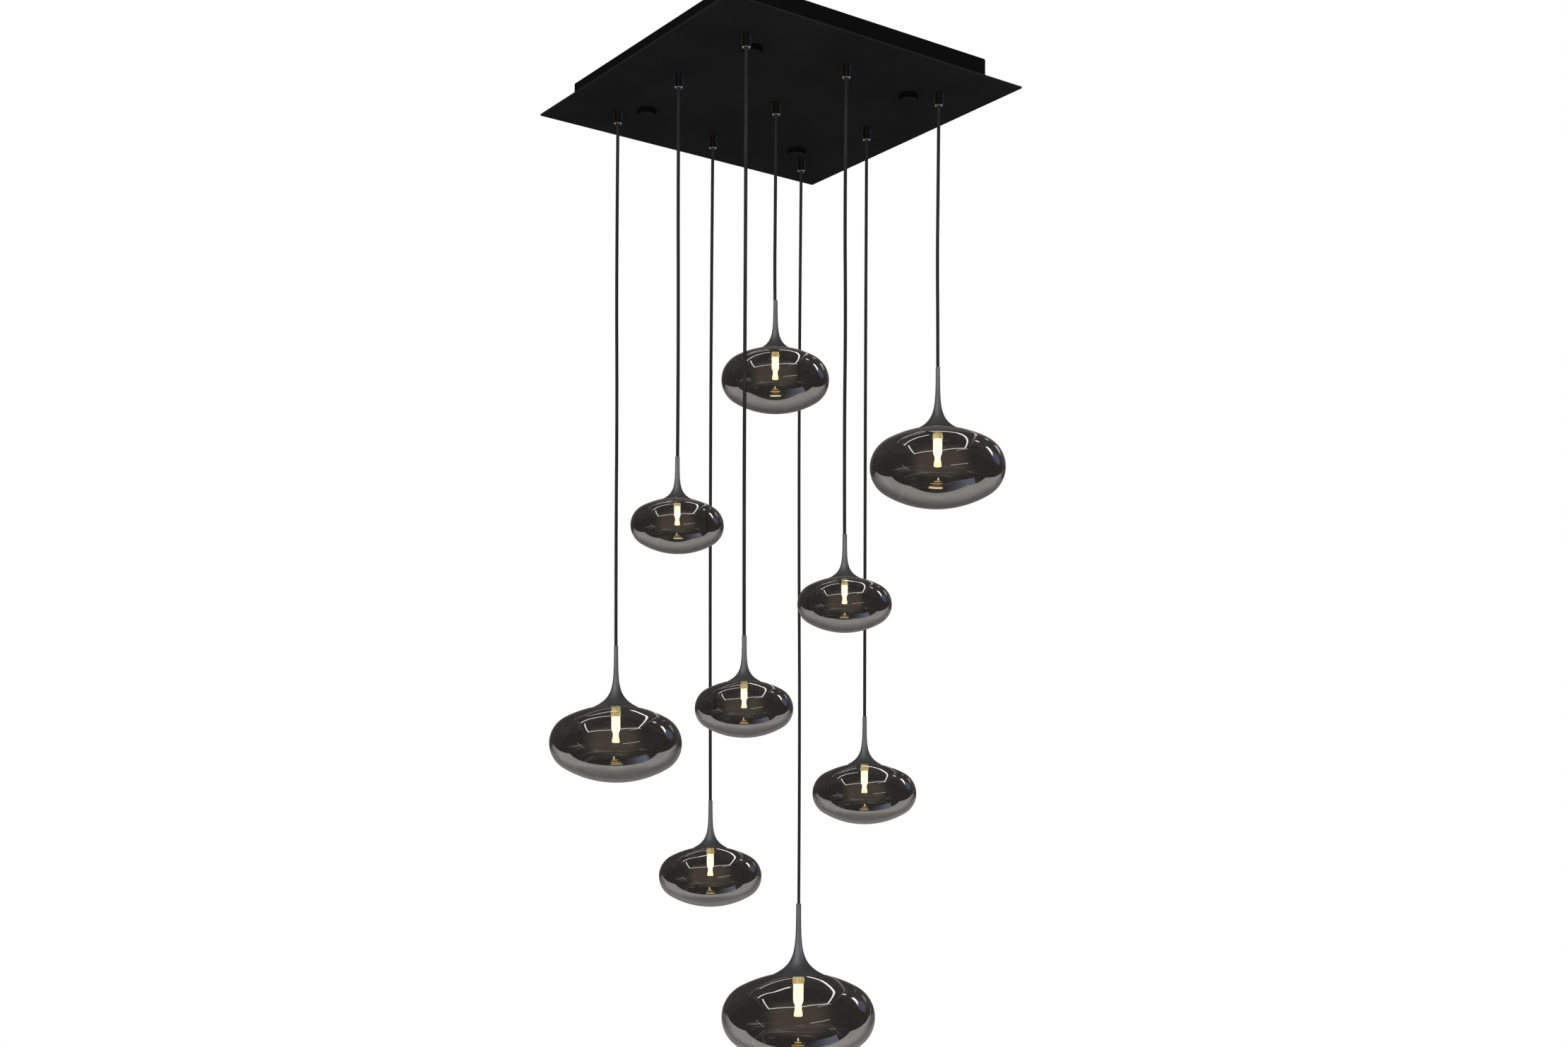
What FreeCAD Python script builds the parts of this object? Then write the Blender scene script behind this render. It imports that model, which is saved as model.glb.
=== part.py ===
"""Cluster pendant: nine smoked-glass globes on cables under a square ceiling plate.

Millimetres, +Z up. The origin is the centre of the ceiling face, where the four
screws hold the housing, so everything hangs below z = 0. The plate's edges run
along X and Y. Pendants are numbered from left to right as seen from the corner
at -X -Y, turned a little towards -Y.
"""

import math
import os

import FreeCAD
import Part
from FreeCAD import Vector

# Ceiling housing and cover plate
HOUSING_SIDE = 428.0
HOUSING_HEIGHT = 42.5
SHEET = 1.5
BEND_RADIUS = 2.5
FLANGE_WIDTH = 12.0
PLATE_SIDE = 500.0
PLATE_THICKNESS = 2.5
PLATE_TOP = -HOUSING_HEIGHT
PLATE_UNDERSIDE = PLATE_TOP - PLATE_THICKNESS

# Ceiling screw slots and supply cable entry
SLOT_SPACING_X = 360.0
SLOT_SPACING_Y = 240.0
SLOT_WIDTH = 6.0
SLOT_LENGTH = 16.0
ENTRY_X = -42.0
ENTRY_Y = 10.0
ENTRY_HOLE_RADIUS = 8.0
ENTRY_BORE_RADIUS = 5.0
ENTRY_FLANGE_RADIUS = 11.0
ENTRY_FLANGE_HEIGHT = 2.5

# Cover nuts on their weld studs
STUD_REACH = 136.0
STUD_RADIUS = 3.0
STUD_LENGTH = 49.5
STUD_FOOT_RADIUS = 5.0
STUD_FOOT_HEIGHT = 1.0
NUT_RADIUS = 13.7
NUT_HEIGHT = 8.5
NUT_BORE_DEPTH = 6.5
NUT_CHAMFER = 1.0
NUT_CROWN = 0.6
THREAD_CLEARANCE = 0.05
STUD_HOLE_RADIUS = 3.4

# Cable grips
GRID_PITCH = PLATE_SIDE / 3
CABLE_RADIUS = 2.4
GRIP_RADIUS = 6.0
GRIP_HEIGHT = 19.0
GRIP_CHAMFER = 1.2
GRIP_BORE_RADIUS = 2.75
MOUTH_RADIUS = 4.2
MOUTH_DEPTH = 4.0
SWING_HEIGHT = 3.0
STEM_RADIUS = 4.95
STEM_HEIGHT = 9.0
STEM_HOLE_RADIUS = 5.3
LOCK_NUT_FLATS = 14.0
LOCK_NUT_HEIGHT = 4.0
SCREW_RADIUS = 1.5
SCREW_DROP = 7.0
SCREW_SLOT_WIDTH = 0.5
SCREW_SLOT_DEPTH = 0.8
SWING_GAP = 0.5

# Wiring inside the housing
LEAD_HEIGHT = -13.0
LEAD_BEND = 16.0
CONNECTOR_SIZE = (30.0, 20.0, 17.5)
SUPPLY_BLOCK_SIZE = (38.0, 22.0, 19.5)
TERMINAL_RADIUS = 2.2
TERMINAL_DEPTH = 1.2
TERMINAL_COUNT = 3
BLOCK_CHAMFER = 1.0
LINK_RADIUS = 2.4
EARTH_X = -97.0
EARTH_Y = 42.0
EARTH_STUD_RADIUS = 2.0
EARTH_STUD_LENGTH = 12.0
EARTH_NUT_FLATS = 7.0
EARTH_NUT_HEIGHT = 3.2
EARTH_RING_RADIUS = 4.2
EARTH_RING_THICKNESS = 0.8
EARTH_LEAD_RADIUS = 1.3
EARTH_LEAD_HEIGHT = -7.4

# Globes: width over the glass, as shares of which the rest is worked out
SMALL = 130.0
MEDIUM = 156.0
LARGE = 194.0
EXTRA_LARGE = 242.0
UPPER_SHARE = 0.291
LOWER_SHARE = 0.298
SIDE_RADIUS_SHARE = 0.222
GLASS_WALL = 2.0
COLLAR_SHARE = 0.075
COLLAR_HEIGHT_SHARE = 0.032

# Trumpet necks
RIM_SHARE = 0.165
FLARE_SHARE = 0.068
NECK_HEIGHT_SHARE = 0.46
NECK_WALL = 1.6
NECK_SEAT_WALL = 1.2
NECK_GAP = 0.3
NECK_BORE_RADIUS = 2.55
STEM_OUTER_RADIUS = {SMALL: 3.1, MEDIUM: 3.1, LARGE: 3.1, EXTRA_LARGE: 3.9}

# Lamp holders and lamps
HOLDER_SHARE = 0.039
HOLDER_FACE_SHARE = 0.2164
HOLDER_BEAD = 0.7
SOCKET_SHARE = 0.031
SOCKET_DEPTH_SHARE = 0.022
CLIP_THICKNESS = 0.6
CLIP_CLEARANCE = 0.1
CLIP_ARC_DEGREES = 52.0
CLIP_FLANGE = 0.8
LAMP_FIT = 0.15
LAMP_TIP_SHARE = 0.004
PIN_SPACING_SHARE = 0.034
PIN_WIDTH = 2.0
PIN_THICKNESS = 0.7
PIN_LENGTH = 4.0
PIN_FIT = 0.1
# height above the tip and radius, both as shares of the globe's width
LAMP_OUTLINE = ((0.0, 0.0262), (0.004, 0.0285), (0.022, 0.0275), (0.062, 0.0215), (0.102, 0.0335))

# number: column, row, globe width, drop of the glass's widest plane below the cover plate
PENDANTS = {
    1: (-1, 1, LARGE, 928.0),
    2: (-1, 0, SMALL, 629.0),
    3: (0, 1, MEDIUM, 1126.0),
    4: (-1, -1, SMALL, 891.0),
    5: (0, 0, MEDIUM, 402.5),
    6: (1, 1, EXTRA_LARGE, 1351.0),
    7: (0, -1, SMALL, 742.0),
    8: (1, 0, MEDIUM, 999.5),
    9: (1, -1, LARGE, 535.0),
}

SWING_Z = PLATE_UNDERSIDE - GRIP_HEIGHT + SWING_HEIGHT
DOWN = Vector(0, 0, -1)
UP = Vector(0, 0, 1)


def save(node, *solids):
    """Write one node's STEP file and report its solids."""
    shape = solids[0] if len(solids) == 1 else Part.makeCompound(list(solids))
    valid = all(s.isValid() and s.Volume > 0 for s in solids)
    shape.exportStep(f"parts/{node}.step")
    print(f"{node}: {len(solids)} solid(s), {shape.Volume / 1000:.2f} cm3, valid {valid}")


def disc(radius, bottom, height, x=0.0, y=0.0):
    """An upright cylinder from its bottom height."""
    return Part.makeCylinder(radius, height, Vector(x, y, bottom))


def block(size, centre_x, centre_y, top):
    """An upright box under a given height."""
    corner = Vector(centre_x - size[0] / 2, centre_y - size[1] / 2, top - size[2])
    return Part.makeBox(*size, corner)


def hexagon(flats, bottom, height, x=0.0, y=0.0):
    """A hexagonal prism, measured across its flats."""
    corner = flats / math.sqrt(3)
    angles = [math.radians(60 * k) for k in range(7)]
    ring = [Vector(x + corner * math.cos(a), y + corner * math.sin(a), bottom) for a in angles]
    return Part.Face(Part.makePolygon(ring)).extrude(Vector(0, 0, height))


def turned(edges):
    """A solid turned about the Z axis from a closed outline of edges in the XZ plane."""
    outline = Part.Wire(Part.__sortEdges__(edges))
    return Part.Face(outline).revolve(Vector(0, 0, 0), UP, 360)


def lines(points):
    """Straight edges through (radius, height) points."""
    corners = [Vector(r, 0, z) for r, z in points]
    return [Part.LineSegment(a, b).toShape() for a, b in zip(corners, corners[1:])]


def arcs(points):
    """Arcs through each three of an odd number of (radius, height) points."""
    corners = [Vector(r, 0, z) for r, z in points]
    starts = range(0, len(corners) - 2, 2)
    return [Part.Arc(*corners[k:k + 3]).toShape() for k in starts]


def tube(route, radius):
    """A round lead along a wire that starts straight up or level."""
    start = route.Edges[0]
    along = start.tangentAt(start.FirstParameter)
    circle = Part.makeCircle(radius, start.valueAt(start.FirstParameter), along)
    return route.makePipe(Part.Face(Part.Wire(circle)))


class Oval:
    """A quarter of a four-centre oval: a side arc that runs on smoothly into a flatter polar arc."""

    def __init__(self, half, rise, side_radius):
        self.side_radius = side_radius
        self.side_centre = half - side_radius
        reach = self.side_centre ** 2 + rise ** 2 - side_radius ** 2
        self.polar_radius = reach / (2 * (rise - side_radius))
        self.polar_centre = rise - self.polar_radius
        self.joint = math.atan2(-self.polar_centre, self.side_centre)

    def height_at(self, radius):
        """The polar arc's height at a radius from the axis."""
        return self.polar_centre + math.sqrt(self.polar_radius ** 2 - radius ** 2)

    def edges(self, inset, mouth, sign):
        """The side and polar arcs of the offset oval, out to a mouth radius, and the point they end at."""
        side = self.side_radius - inset
        polar = self.polar_radius - inset
        last = math.acos(mouth / polar)

        def on(centre_x, centre_z, radius, angle):
            across = centre_x + radius * math.cos(angle)
            return Vector(across, 0, sign * (centre_z + radius * math.sin(angle)))

        side_arc = Part.Arc(*[on(self.side_centre, 0, side, k * self.joint / 2) for k in range(3)])
        span = (last - self.joint) / 2
        polar_points = [on(0, self.polar_centre, polar, self.joint + k * span) for k in range(3)]
        return [side_arc.toShape(), Part.Arc(*polar_points).toShape()], polar_points[-1]


class Globe:
    """Sizes of one pendant's glass, neck, holder and lamp, with the glass's widest plane at z = 0."""

    def __init__(self, width):
        self.width = width
        self.half = width / 2
        self.side_radius = SIDE_RADIUS_SHARE * width
        self.upper = Oval(self.half, UPPER_SHARE * width, self.side_radius)
        self.lower = Oval(self.half, LOWER_SHARE * width, self.side_radius)
        self.collar = COLLAR_SHARE * width
        self.collar_bore = self.collar - GLASS_WALL
        self.collar_foot = self.upper.height_at(self.collar)
        self.collar_top = self.collar_foot + COLLAR_HEIGHT_SHARE * width
        self.stem = STEM_OUTER_RADIUS[width]
        self.rim = RIM_SHARE * width
        self.flare = FLARE_SHARE * width
        self.neck_foot = self.upper.height_at(self.rim - NECK_WALL) + NECK_GAP
        self.neck_top = self.neck_foot + NECK_HEIGHT_SHARE * width
        self.holder = HOLDER_SHARE * width
        self.holder_face = HOLDER_FACE_SHARE * width
        self.seat_height = self.flare_height(self.holder + NECK_GAP + NECK_SEAT_WALL)
        self.seat = self.neck_foot + self.seat_height
        self.lamp_tip = LAMP_TIP_SHARE * width

    def flare_radius(self, height):
        """The neck's outer radius at a height above its rim: it decays from the rim to the stem."""
        return self.stem + (self.rim - self.stem) * math.exp(-height / self.flare)

    def flare_height(self, radius):
        """The height above the rim where the neck has a given outer radius."""
        return -self.flare * math.log((radius - self.stem) / (self.rim - self.stem))


def glass_globe(globe):
    """The blown globe: an oblate shell, closed below, whose collar stands up inside the neck."""
    edges = []
    mouths = []
    poles = []
    for inset, mouth in ((0.0, globe.collar), (GLASS_WALL, globe.collar_bore)):
        upper, end = globe.upper.edges(inset, mouth, 1)
        lower, pole = globe.lower.edges(inset, 0.0, -1)
        edges += upper + lower
        mouths.append(end)
        poles.append(pole)
    outer, inner = mouths
    collar = [(outer.x, outer.z), (outer.x, globe.collar_top), (inner.x, globe.collar_top), (inner.x, inner.z)]
    edges += lines(collar)
    edges.append(Part.LineSegment(*poles).toShape())
    return turned(edges)


def trumpet_neck(globe):
    """The spun metal neck: a stem that flares like a trumpet, hollow round the lamp holder."""
    last = 0.36 * globe.width
    heights = [share * globe.width for share in (0.0, 0.022, 0.05, 0.09, 0.14, 0.22)]
    outline = [(globe.flare_radius(h), globe.neck_foot + h) for h in heights]
    outline.append((globe.stem, globe.neck_foot + last))
    steps = [globe.seat_height * share for share in (0.0, 0.22, 0.5, 0.75, 1.0)]
    cavity = [(globe.flare_radius(h) - NECK_WALL, globe.neck_foot + h) for h in steps]
    shoulder = (cavity[-1][0], globe.seat)
    edges = arcs(outline) + arcs(cavity)
    edges += lines([cavity[0], outline[0]])
    edges += lines([
        outline[-1],
        (globe.stem, globe.neck_top),
        (NECK_BORE_RADIUS, globe.neck_top),
        (NECK_BORE_RADIUS, globe.seat),
        shoulder,
    ])
    return turned(edges)


def lamp_holder(globe):
    """The two-pin holder under the neck's seat, with a bead at its foot and a socket for the lamp."""
    face = globe.holder_face
    socket = SOCKET_SHARE * globe.width
    depth = SOCKET_DEPTH_SHARE * globe.width
    bead = 0.03 * globe.width
    body = turned(lines([
        (0, face + depth),
        (socket, face + depth),
        (socket, face),
        (globe.holder - HOLDER_BEAD, face),
        (globe.holder, face + HOLDER_BEAD),
        (globe.holder, face + bead),
        (globe.holder - HOLDER_BEAD, face + bead + HOLDER_BEAD),
        (globe.holder - HOLDER_BEAD, globe.seat),
        (0, globe.seat),
        (0, face + depth),
    ]))
    for side in (-1, 1):
        centre = side * PIN_SPACING_SHARE * globe.width / 2
        size = (PIN_THICKNESS + 2 * PIN_FIT, PIN_WIDTH + 2 * PIN_FIT, PIN_LENGTH + 1)
        body = body.cut(block(size, centre, 0, face + depth + PIN_LENGTH))
    return body


def glass_clip(globe):
    """The spring crown on the holder: a flange with three leaves that grip the collar's bore."""
    outer = globe.collar_bore - CLIP_CLEARANCE
    base = globe.collar_top + NECK_GAP
    sleeve = globe.holder - HOLDER_BEAD
    flange = disc(outer, base, CLIP_FLANGE).cut(disc(sleeve, base, CLIP_FLANGE))
    depth = base - globe.collar_foot
    crown = disc(outer, base - depth, depth)
    crown = crown.cut(disc(outer - CLIP_THICKNESS, base - depth, depth))
    leaves = []
    for k in range(3):
        reach = outer + 1
        slice_edge = Vector(reach, 0, base - depth)
        wedge = Part.Face(Part.Wire([
            Part.LineSegment(Vector(0, 0, base - depth), slice_edge).toShape(),
            Part.Arc(
                slice_edge,
                turn(slice_edge, CLIP_ARC_DEGREES / 2),
                turn(slice_edge, CLIP_ARC_DEGREES),
            ).toShape(),
            Part.LineSegment(turn(slice_edge, CLIP_ARC_DEGREES), Vector(0, 0, base - depth)).toShape(),
        ])).extrude(Vector(0, 0, depth))
        wedge.rotate(Vector(0, 0, 0), UP, 120 * k)
        leaves.append(crown.common(wedge))
    return flange.fuse(leaves).removeSplitter()


def turn(point, degrees):
    """A point turned about the Z axis."""
    a = math.radians(degrees)
    return Vector(
        point.x * math.cos(a) - point.y * math.sin(a),
        point.x * math.sin(a) + point.y * math.cos(a),
        point.z,
    )


def lamp(globe):
    """The two-pin LED capsule: a base in the socket, a waisted tube and a flat tip."""
    tip = globe.lamp_tip
    outline = [(radius * globe.width, tip + height * globe.width) for height, radius in LAMP_OUTLINE]
    socket = SOCKET_SHARE * globe.width - LAMP_FIT
    shoulder = globe.holder_face - LAMP_FIT
    top = globe.holder_face + SOCKET_DEPTH_SHARE * globe.width
    body = turned(lines([(0, tip)] + outline + [
        (outline[-1][0], shoulder),
        (socket, shoulder),
        (socket, top),
        (0, top),
        (0, tip),
    ]))
    for side in (-1, 1):
        centre = side * PIN_SPACING_SHARE * globe.width / 2
        size = (PIN_THICKNESS, PIN_WIDTH, PIN_LENGTH)
        body = body.fuse(block(size, centre, 0, top + PIN_LENGTH - PIN_FIT))
    return body


def pendant_cable(length):
    """The hanging cable, whose rounded upper end turns in the grip's mouth; its swing point is z = 0."""
    bulge = CABLE_RADIUS * math.sqrt(0.5)
    edges = [Part.Arc(
        Vector(0, 0, CABLE_RADIUS),
        Vector(bulge, 0, bulge),
        Vector(CABLE_RADIUS, 0, 0),
    ).toShape()]
    edges += lines([(CABLE_RADIUS, 0), (CABLE_RADIUS, -length), (0, -length), (0, CABLE_RADIUS)])
    return turned(edges)


def grid(column, row):
    """A cable's place on the plate's 3 by 3 grid."""
    return column * GRID_PITCH, row * GRID_PITCH


def make_pendants():
    """Every pendant: cable, neck, holder with its clip, lamp and glass."""
    for number, (column, row, width, drop) in PENDANTS.items():
        globe = Globe(width)
        x, y = grid(column, row)
        centre = Vector(x, y, PLATE_UNDERSIDE - drop)
        cable = pendant_cable(SWING_Z - centre.z - globe.seat)
        cable.translate(Vector(x, y, SWING_Z))
        pieces = {
            "neck": [trumpet_neck(globe)],
            "lamp_holder": [lamp_holder(globe), glass_clip(globe)],
            "lamp": [lamp(globe)],
            "glass": [glass_globe(globe)],
        }
        save(f"cable_{number}", cable)
        for name, solids in pieces.items():
            for solid in solids:
                solid.translate(centre)
            save(f"{name}_{number}", *solids)
        grip_foot = PLATE_UNDERSIDE - GRIP_HEIGHT
        visible = grip_foot - centre.z - globe.neck_top
        print(f"cable {number}: {visible:.0f} mm shows between the grip and the neck")


def ceiling_housing():
    """The folded steel tray on the ceiling: top, four sides and a return flange round the foot."""
    side = HOUSING_SIDE
    outer = block((side, side, HOUSING_HEIGHT), 0, 0, 0)
    inner = block((side - 2 * SHEET, side - 2 * SHEET, HOUSING_HEIGHT - SHEET), 0, 0, -SHEET)

    def bends(box, top):
        upright = [e for e in box.Edges if abs(e.tangentAt(0).z) > 0.9]
        level = [e for e in box.Edges if e.BoundBox.ZMin > top - 0.01]
        return upright + level

    outer = outer.makeFillet(BEND_RADIUS, bends(outer, 0))
    inner = inner.makeFillet(BEND_RADIUS - SHEET, bends(inner, -SHEET))
    tray = outer.cut(inner)
    window = side - 2 * FLANGE_WIDTH
    flange = block((side - SHEET, side - SHEET, SHEET), 0, 0, PLATE_TOP + SHEET)
    flange = flange.common(outer).cut(block((window, window, SHEET), 0, 0, PLATE_TOP + SHEET))
    tray = tray.fuse(flange).removeSplitter()
    tray = tray.cut(disc(ENTRY_HOLE_RADIUS, -SHEET, SHEET, ENTRY_X, ENTRY_Y))
    for sx in (-1, 1):
        for sy in (-1, 1):
            x = sx * SLOT_SPACING_X / 2
            y = sy * SLOT_SPACING_Y / 2
            reach = (SLOT_LENGTH - SLOT_WIDTH) / 2
            slot = block((2 * reach, SLOT_WIDTH, SHEET), x, y, 0)
            for end in (-reach, reach):
                slot = slot.fuse(disc(SLOT_WIDTH / 2, -SHEET, SHEET, x + end, y))
            tray = tray.cut(slot.removeSplitter())
    return tray


def cover_plate():
    """The flat square plate under the housing, drilled for the grips and the studs."""
    size = (PLATE_SIDE, PLATE_SIDE, PLATE_THICKNESS)
    plate = block(size, 0, 0, PLATE_TOP)
    holes = [disc(STEM_HOLE_RADIUS, PLATE_UNDERSIDE, PLATE_THICKNESS, *grid(c, r))
             for c, r, _, _ in PENDANTS.values()]
    holes += [disc(STUD_HOLE_RADIUS, PLATE_UNDERSIDE, PLATE_THICKNESS, x, y) for x, y in stud_places()]
    return plate.cut(holes)


def stud_places():
    """Where the four studs stand."""
    return [(sx * STUD_REACH, sy * STUD_REACH) for sx in (-1, 1) for sy in (-1, 1)]


def cover_stud(x, y):
    """A weld stud under the tray's top, with its foot."""
    shank = disc(STUD_RADIUS, -SHEET - STUD_LENGTH, STUD_LENGTH, x, y)
    return shank.fuse(disc(STUD_FOOT_RADIUS, -SHEET - STUD_FOOT_HEIGHT, STUD_FOOT_HEIGHT, x, y))


def cover_nut():
    """A round cap nut with a blind bore and a slightly crowned face, standing below z = 0."""
    bore = STUD_RADIUS + THREAD_CLEARANCE
    low = -NUT_HEIGHT
    edges = lines([
        (0, -NUT_BORE_DEPTH),
        (bore, -NUT_BORE_DEPTH),
        (bore, 0),
        (NUT_RADIUS - NUT_CHAMFER / 2, 0),
        (NUT_RADIUS, -NUT_CHAMFER / 2),
        (NUT_RADIUS, low + NUT_CHAMFER + NUT_CROWN),
        (NUT_RADIUS - NUT_CHAMFER, low + NUT_CROWN),
        (0, low),
        (0, -NUT_BORE_DEPTH),
    ])
    return turned(edges)


def cable_grip():
    """A cable grip: barrel with a bell mouth below the plate, threaded stem above; z = 0 is the underside."""
    foot = -GRIP_HEIGHT
    body = turned(lines([
        (GRIP_BORE_RADIUS, foot + MOUTH_DEPTH),
        (MOUTH_RADIUS, foot),
        (GRIP_RADIUS - GRIP_CHAMFER, foot),
        (GRIP_RADIUS, foot + GRIP_CHAMFER),
        (GRIP_RADIUS, 0),
        (STEM_RADIUS, 0),
        (STEM_RADIUS, PLATE_THICKNESS + STEM_HEIGHT),
        (GRIP_BORE_RADIUS, PLATE_THICKNESS + STEM_HEIGHT),
        (GRIP_BORE_RADIUS, foot + MOUTH_DEPTH),
    ]))
    hole = Part.makeCylinder(
        SCREW_RADIUS + THREAD_CLEARANCE,
        GRIP_RADIUS + 1,
        Vector(0, 0, -SCREW_DROP),
        Vector(0, -1, 0),
    )
    return body.cut(hole)


def grip_screw():
    """The slotted grub screw in the grip's side that holds the cable."""
    length = GRIP_RADIUS - CABLE_RADIUS - 0.1
    place = Vector(0, -CABLE_RADIUS, -SCREW_DROP)
    screw = Part.makeCylinder(SCREW_RADIUS, length, place, Vector(0, -1, 0))
    slot = Part.makeBox(
        2 * SCREW_RADIUS,
        SCREW_SLOT_DEPTH,
        SCREW_SLOT_WIDTH,
        Vector(-SCREW_RADIUS, -CABLE_RADIUS - length, -SCREW_DROP - SCREW_SLOT_WIDTH / 2),
    )
    return screw.cut(slot)


def lock_nut():
    """The hexagonal nut that clamps a grip to the plate from inside."""
    nut = hexagon(LOCK_NUT_FLATS, PLATE_THICKNESS, LOCK_NUT_HEIGHT)
    return nut.cut(disc(STEM_RADIUS + THREAD_CLEARANCE, PLATE_THICKNESS, LOCK_NUT_HEIGHT))


def at_every_grip(maker):
    """One copy of a piece at each cable, with z = 0 at the plate's underside."""
    copies = []
    for column, row, _, _ in PENDANTS.values():
        x, y = grid(column, row)
        piece = maker()
        piece.translate(Vector(x, y, PLATE_UNDERSIDE))
        copies.append(piece)
    return copies


def terminal_block(size, x, y):
    """A screw terminal block under the tray, with a chamfered foot and a well over each screw."""
    body = block(size, x, y, -SHEET)
    low = [e for e in body.Edges if e.BoundBox.ZMax < -size[2] - SHEET + 0.01]
    body = body.makeChamfer(BLOCK_CHAMFER, low)
    pitch = size[0] / TERMINAL_COUNT
    for k in range(TERMINAL_COUNT):
        centre = x + (k - (TERMINAL_COUNT - 1) / 2) * pitch
        body = body.cut(disc(TERMINAL_RADIUS, -SHEET - size[2], TERMINAL_DEPTH, centre, y))
    return body


def lamp_lead(x, y, towards):
    """A lamp cable's fixed tail: from its grip's mouth up through the stem, bent over to a connector."""
    start = Vector(x, y, SWING_Z + CABLE_RADIUS + SWING_GAP)
    rise = Vector(x, y, LEAD_HEIGHT - LEAD_BEND)
    quarter = LEAD_BEND * (1 - math.sqrt(0.5))
    middle = Vector(x, y + towards * quarter, LEAD_HEIGHT - quarter)
    over = Vector(x, y + towards * LEAD_BEND, LEAD_HEIGHT)
    reach = GRID_PITCH / 2 - CONNECTOR_SIZE[1] / 2
    end = Vector(x, y + towards * reach, LEAD_HEIGHT)
    route = Part.Wire([
        Part.LineSegment(start, rise).toShape(),
        Part.Arc(rise, middle, over).toShape(),
        Part.LineSegment(over, end).toShape(),
    ])
    lead = tube(route, CABLE_RADIUS)
    section = math.pi * CABLE_RADIUS ** 2
    share = lead.Volume / (section * route.Length)
    print(f"lamp lead: {route.Length:.1f} mm, bend {LEAD_BEND} mm, volume share {share:.4f}")
    return lead


def link_lead(start, end):
    """A straight lead between two terminal blocks."""
    run = end.sub(start)
    return Part.makeCylinder(LINK_RADIUS, run.Length, start, run)


def make_wiring():
    """Connectors between the rows of cables, the supply block, and the leads that join them."""
    half = GRID_PITCH / 2
    connectors = [terminal_block(CONNECTOR_SIZE, c * GRID_PITCH, s * half)
                  for s in (1, -1) for c in (-1, 0, 1)]
    connectors.append(terminal_block(CONNECTOR_SIZE, -half, -half))
    save("lamp_connectors", *connectors)
    save("supply_block", terminal_block(SUPPLY_BLOCK_SIZE, -half, half))
    leads = []
    for column, row, _, _ in PENDANTS.values():
        x, y = grid(column, row)
        leads.append(lamp_lead(x, y, -1 if row == 1 else 1))
    for s, block_size in ((1, SUPPLY_BLOCK_SIZE), (-1, CONNECTOR_SIZE)):
        spans = [
            (-GRID_PITCH + CONNECTOR_SIZE[0] / 2, -half - block_size[0] / 2),
            (-half + block_size[0] / 2, -CONNECTOR_SIZE[0] / 2),
            (CONNECTOR_SIZE[0] / 2, GRID_PITCH - CONNECTOR_SIZE[0] / 2),
        ]
        for start, end in spans:
            leads.append(link_lead(Vector(start, s * half, LEAD_HEIGHT), Vector(end, s * half, LEAD_HEIGHT)))
    leads.append(link_lead(
        Vector(-half, half - SUPPLY_BLOCK_SIZE[1] / 2, LEAD_HEIGHT),
        Vector(-half, -half + CONNECTOR_SIZE[1] / 2, LEAD_HEIGHT),
    ))
    save("inner_leads", *leads)


def make_earth():
    """The earth stud with its nut and ring terminal, and the lead to the supply block."""
    x, y = EARTH_X, EARTH_Y
    ring_bore = EARTH_STUD_RADIUS + THREAD_CLEARANCE
    stud = disc(EARTH_STUD_RADIUS, -SHEET - EARTH_STUD_LENGTH, EARTH_STUD_LENGTH, x, y)
    ring_low = EARTH_LEAD_HEIGHT - EARTH_RING_THICKNESS / 2
    ring = disc(EARTH_RING_RADIUS, ring_low, EARTH_RING_THICKNESS, x, y)
    ring = ring.cut(disc(ring_bore, ring_low, EARTH_RING_THICKNESS, x, y))
    nuts = []
    for bottom in (ring_low - EARTH_NUT_HEIGHT, ring_low + EARTH_RING_THICKNESS):
        nut = hexagon(EARTH_NUT_FLATS, bottom, EARTH_NUT_HEIGHT, x, y)
        nuts.append(nut.cut(disc(ring_bore, bottom, EARTH_NUT_HEIGHT, x, y)))
    face = GRID_PITCH / 2 - SUPPLY_BLOCK_SIZE[1] / 2
    start = y + math.sqrt(EARTH_RING_RADIUS ** 2 - EARTH_LEAD_RADIUS ** 2) + 0.2
    lead = Part.makeCylinder(
        EARTH_LEAD_RADIUS,
        face - start,
        Vector(x, start, EARTH_LEAD_HEIGHT),
        Vector(0, 1, 0),
    )
    tongue = block((2 * EARTH_LEAD_RADIUS, 3.0, EARTH_RING_THICKNESS), x, start - 1.0,
                   ring_low + EARTH_RING_THICKNESS)
    ring = ring.fuse(tongue).cut(lead)
    save("earth_terminal", stud, ring, *nuts, lead)


def entry_bushing():
    """The rubber bushing in the supply cable's hole, flush with the ceiling face."""
    flange_top = -SHEET
    barrel = disc(ENTRY_HOLE_RADIUS - THREAD_CLEARANCE, flange_top, SHEET, ENTRY_X, ENTRY_Y)
    flange = disc(ENTRY_FLANGE_RADIUS, flange_top - ENTRY_FLANGE_HEIGHT, ENTRY_FLANGE_HEIGHT,
                  ENTRY_X, ENTRY_Y)
    height = SHEET + ENTRY_FLANGE_HEIGHT
    bore = disc(ENTRY_BORE_RADIUS, -height, height, ENTRY_X, ENTRY_Y)
    return barrel.fuse(flange).cut(bore)


def make_ceiling_parts():
    """Everything that stays on the ceiling, and the four nuts that hold the cover up."""
    save("ceiling_housing", ceiling_housing())
    save("cover_plate", cover_plate())
    save("cover_studs", *[cover_stud(x, y) for x, y in stud_places()])
    for number, (x, y) in enumerate(stud_places(), 1):
        nut = cover_nut()
        nut.translate(Vector(x, y, PLATE_UNDERSIDE))
        save(f"cover_nut_{number}", nut)
    save("cable_grips", *at_every_grip(cable_grip))
    save("grip_screws", *at_every_grip(grip_screw))
    save("lock_nuts", *at_every_grip(lock_nut))
    save("entry_bushing", entry_bushing())
    make_wiring()
    make_earth()


os.makedirs("parts", exist_ok=True)
make_ceiling_parts()
make_pendants()
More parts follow.
